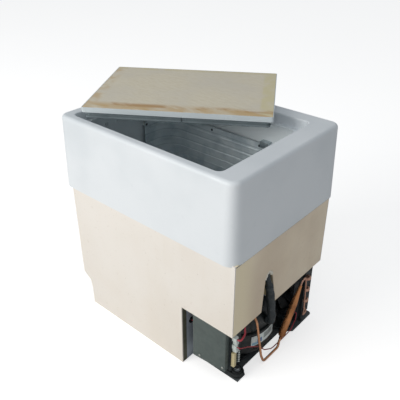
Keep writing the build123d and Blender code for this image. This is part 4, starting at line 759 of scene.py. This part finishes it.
def collar_joint():
    """Broken line of old sealant and dirt where the collar meets the body."""
    low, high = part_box("front_panel")
    side_low, side_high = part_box("right_panel")
    level = high.z - 0.0026
    lump = ripple(7.0, 0.02, 0.0011)
    front = [Vector((low.x + (high.x - low.x) * i / 60, low.y - 0.0002, level)) for i in range(61)]
    side = [
        Vector((side_high.x + 0.0002, side_low.y + (side_high.y - side_low.y) * i / 50, level))
        for i in range(51)
    ]

    def wrinkle(share, angle):
        return max(-0.0006, lump((share, 0, 0)))

    def build(bm):
        for line in (front, side):
            add_tube(bm, line, lambda share: 0.0009, 8, wrinkle)
    return piece("collar_joint", mesh_of(build), dirt_skin, "cabinet")


def comb_pins():
    """Row of small tapered pins along the comb's outer edge."""
    low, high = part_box("pin_comb")
    y = (low.y + high.y) / 2
    profile = [
        (0, -0.0030), (0.0017, -0.0030), (0.0017, 0.0005), (0.0013, 0.0030), (0.0007, 0.0042), (0, 0.0043),
    ]

    def build(bm):
        for i in range(PIN_COUNT):
            z = low.z + PIN_FIRST + i * PIN_PITCH
            add_lathe(bm, profile, facing_place((high.x - 0.0008, y, z), (1, 0.25, 0)), 10)
    return piece("comb_pins", mesh_of(build), sleeve_white, "cabinet")


comb_pins()
fin_pack()
suction_hose()
torn_seal()
weld_bead()
liner_plugs()
plate_clip()
collar_joint()


# ------------------------------------------------------------------ floor, light and camera
FLOOR_GLOW = 0.62       # the paper looks white although it throws little light back


def add_floor():
    """Pale round floor that stays light under the soft boxes."""
    bm = bmesh.new()
    bmesh.ops.create_circle(bm, cap_ends=True, segments=96, radius=16.0)
    mesh = bpy.data.meshes.new("floor")
    bm.to_mesh(mesh)
    bm.free()
    floor = bpy.data.objects.new("floor", mesh)
    floor.location.z = -0.0004
    bpy.context.scene.collection.objects.link(floor)
    s = Surface("floor_paper", "E6E4E2", 0.9, specular=0.0)
    s.tint(s.noise(0.8, 0.3, 0.7, 0.3), "E2E1E0")
    paths = s.node("ShaderNodeLightPath")
    glow = s.ramp(paths.outputs["Is Camera Ray"], 0.0, 1.0, FLOOR_GLOW)
    s.shader.inputs["Emission Color"].default_value = (1, 1, 1, 1)
    s.link(glow, s.shader.inputs["Emission Strength"])
    mesh.materials.append(s.material)


def add_area_light(name, place, target, size, power, colour=(1, 1, 1)):
    data = bpy.data.lights.new(name, "AREA")
    data.shape = "RECTANGLE"
    data.size, data.size_y = size
    data.energy = power
    data.color = colour
    light = bpy.data.objects.new(name, data)
    light.location = place
    light.rotation_mode = "QUATERNION"
    light.rotation_quaternion = (Vector(target) - Vector(place)).to_track_quat("-Z", "Y")
    bpy.context.scene.collection.objects.link(light)


def add_world():
    """White surround that the camera sees as plain white and the object as soft sky."""
    world = bpy.data.worlds.new("surround")
    world.use_nodes = True
    bpy.context.scene.world = world
    tree = world.node_tree
    sky = tree.nodes["Background"]
    sky.inputs["Color"].default_value = (0.90, 0.95, 1.0, 1)
    sky.inputs["Strength"].default_value = 0.36
    seen = tree.nodes.new("ShaderNodeBackground")
    seen.inputs["Color"].default_value = (1, 1, 1, 1)
    seen.inputs["Strength"].default_value = 1.0
    paths = tree.nodes.new("ShaderNodeLightPath")
    mix = tree.nodes.new("ShaderNodeMixShader")
    tree.links.new(paths.outputs["Is Camera Ray"], mix.inputs["Fac"])
    tree.links.new(sky.outputs["Background"], mix.inputs[1])
    tree.links.new(seen.outputs["Background"], mix.inputs[2])
    tree.links.new(mix.outputs["Shader"], tree.nodes["World Output"].inputs["Surface"])


def add_camera():
    data = bpy.data.cameras.new("camera")
    data.sensor_width = 36.0
    data.lens = 47.83
    data.clip_start, data.clip_end = 0.05, 60.0
    camera = bpy.data.objects.new("camera", data)
    place = Vector((0.7619, -0.8615, 1.0090))
    target = Vector((-0.01128, 0.02281, 0.31673))
    camera.location = place
    camera.rotation_mode = "QUATERNION"
    camera.rotation_quaternion = (target - place).to_track_quat("-Z", "Y")
    bpy.context.scene.collection.objects.link(camera)
    bpy.context.scene.camera = camera


add_floor()
add_world()
add_camera()
add_area_light("key_light", (-1.2, -3.2, 1.9), (0.0, 0.0, 0.35), (2.4, 1.8), 80, (1.0, 0.985, 0.955))
add_area_light("top_light", (0.9, -0.9, 2.9), (0.0, 0.0, 0.4), (1.2, 1.2), 6, (0.95, 0.98, 1.0))
bpy.context.scene.view_settings.view_transform = "Standard"
bpy.context.scene.view_settings.look = "None"
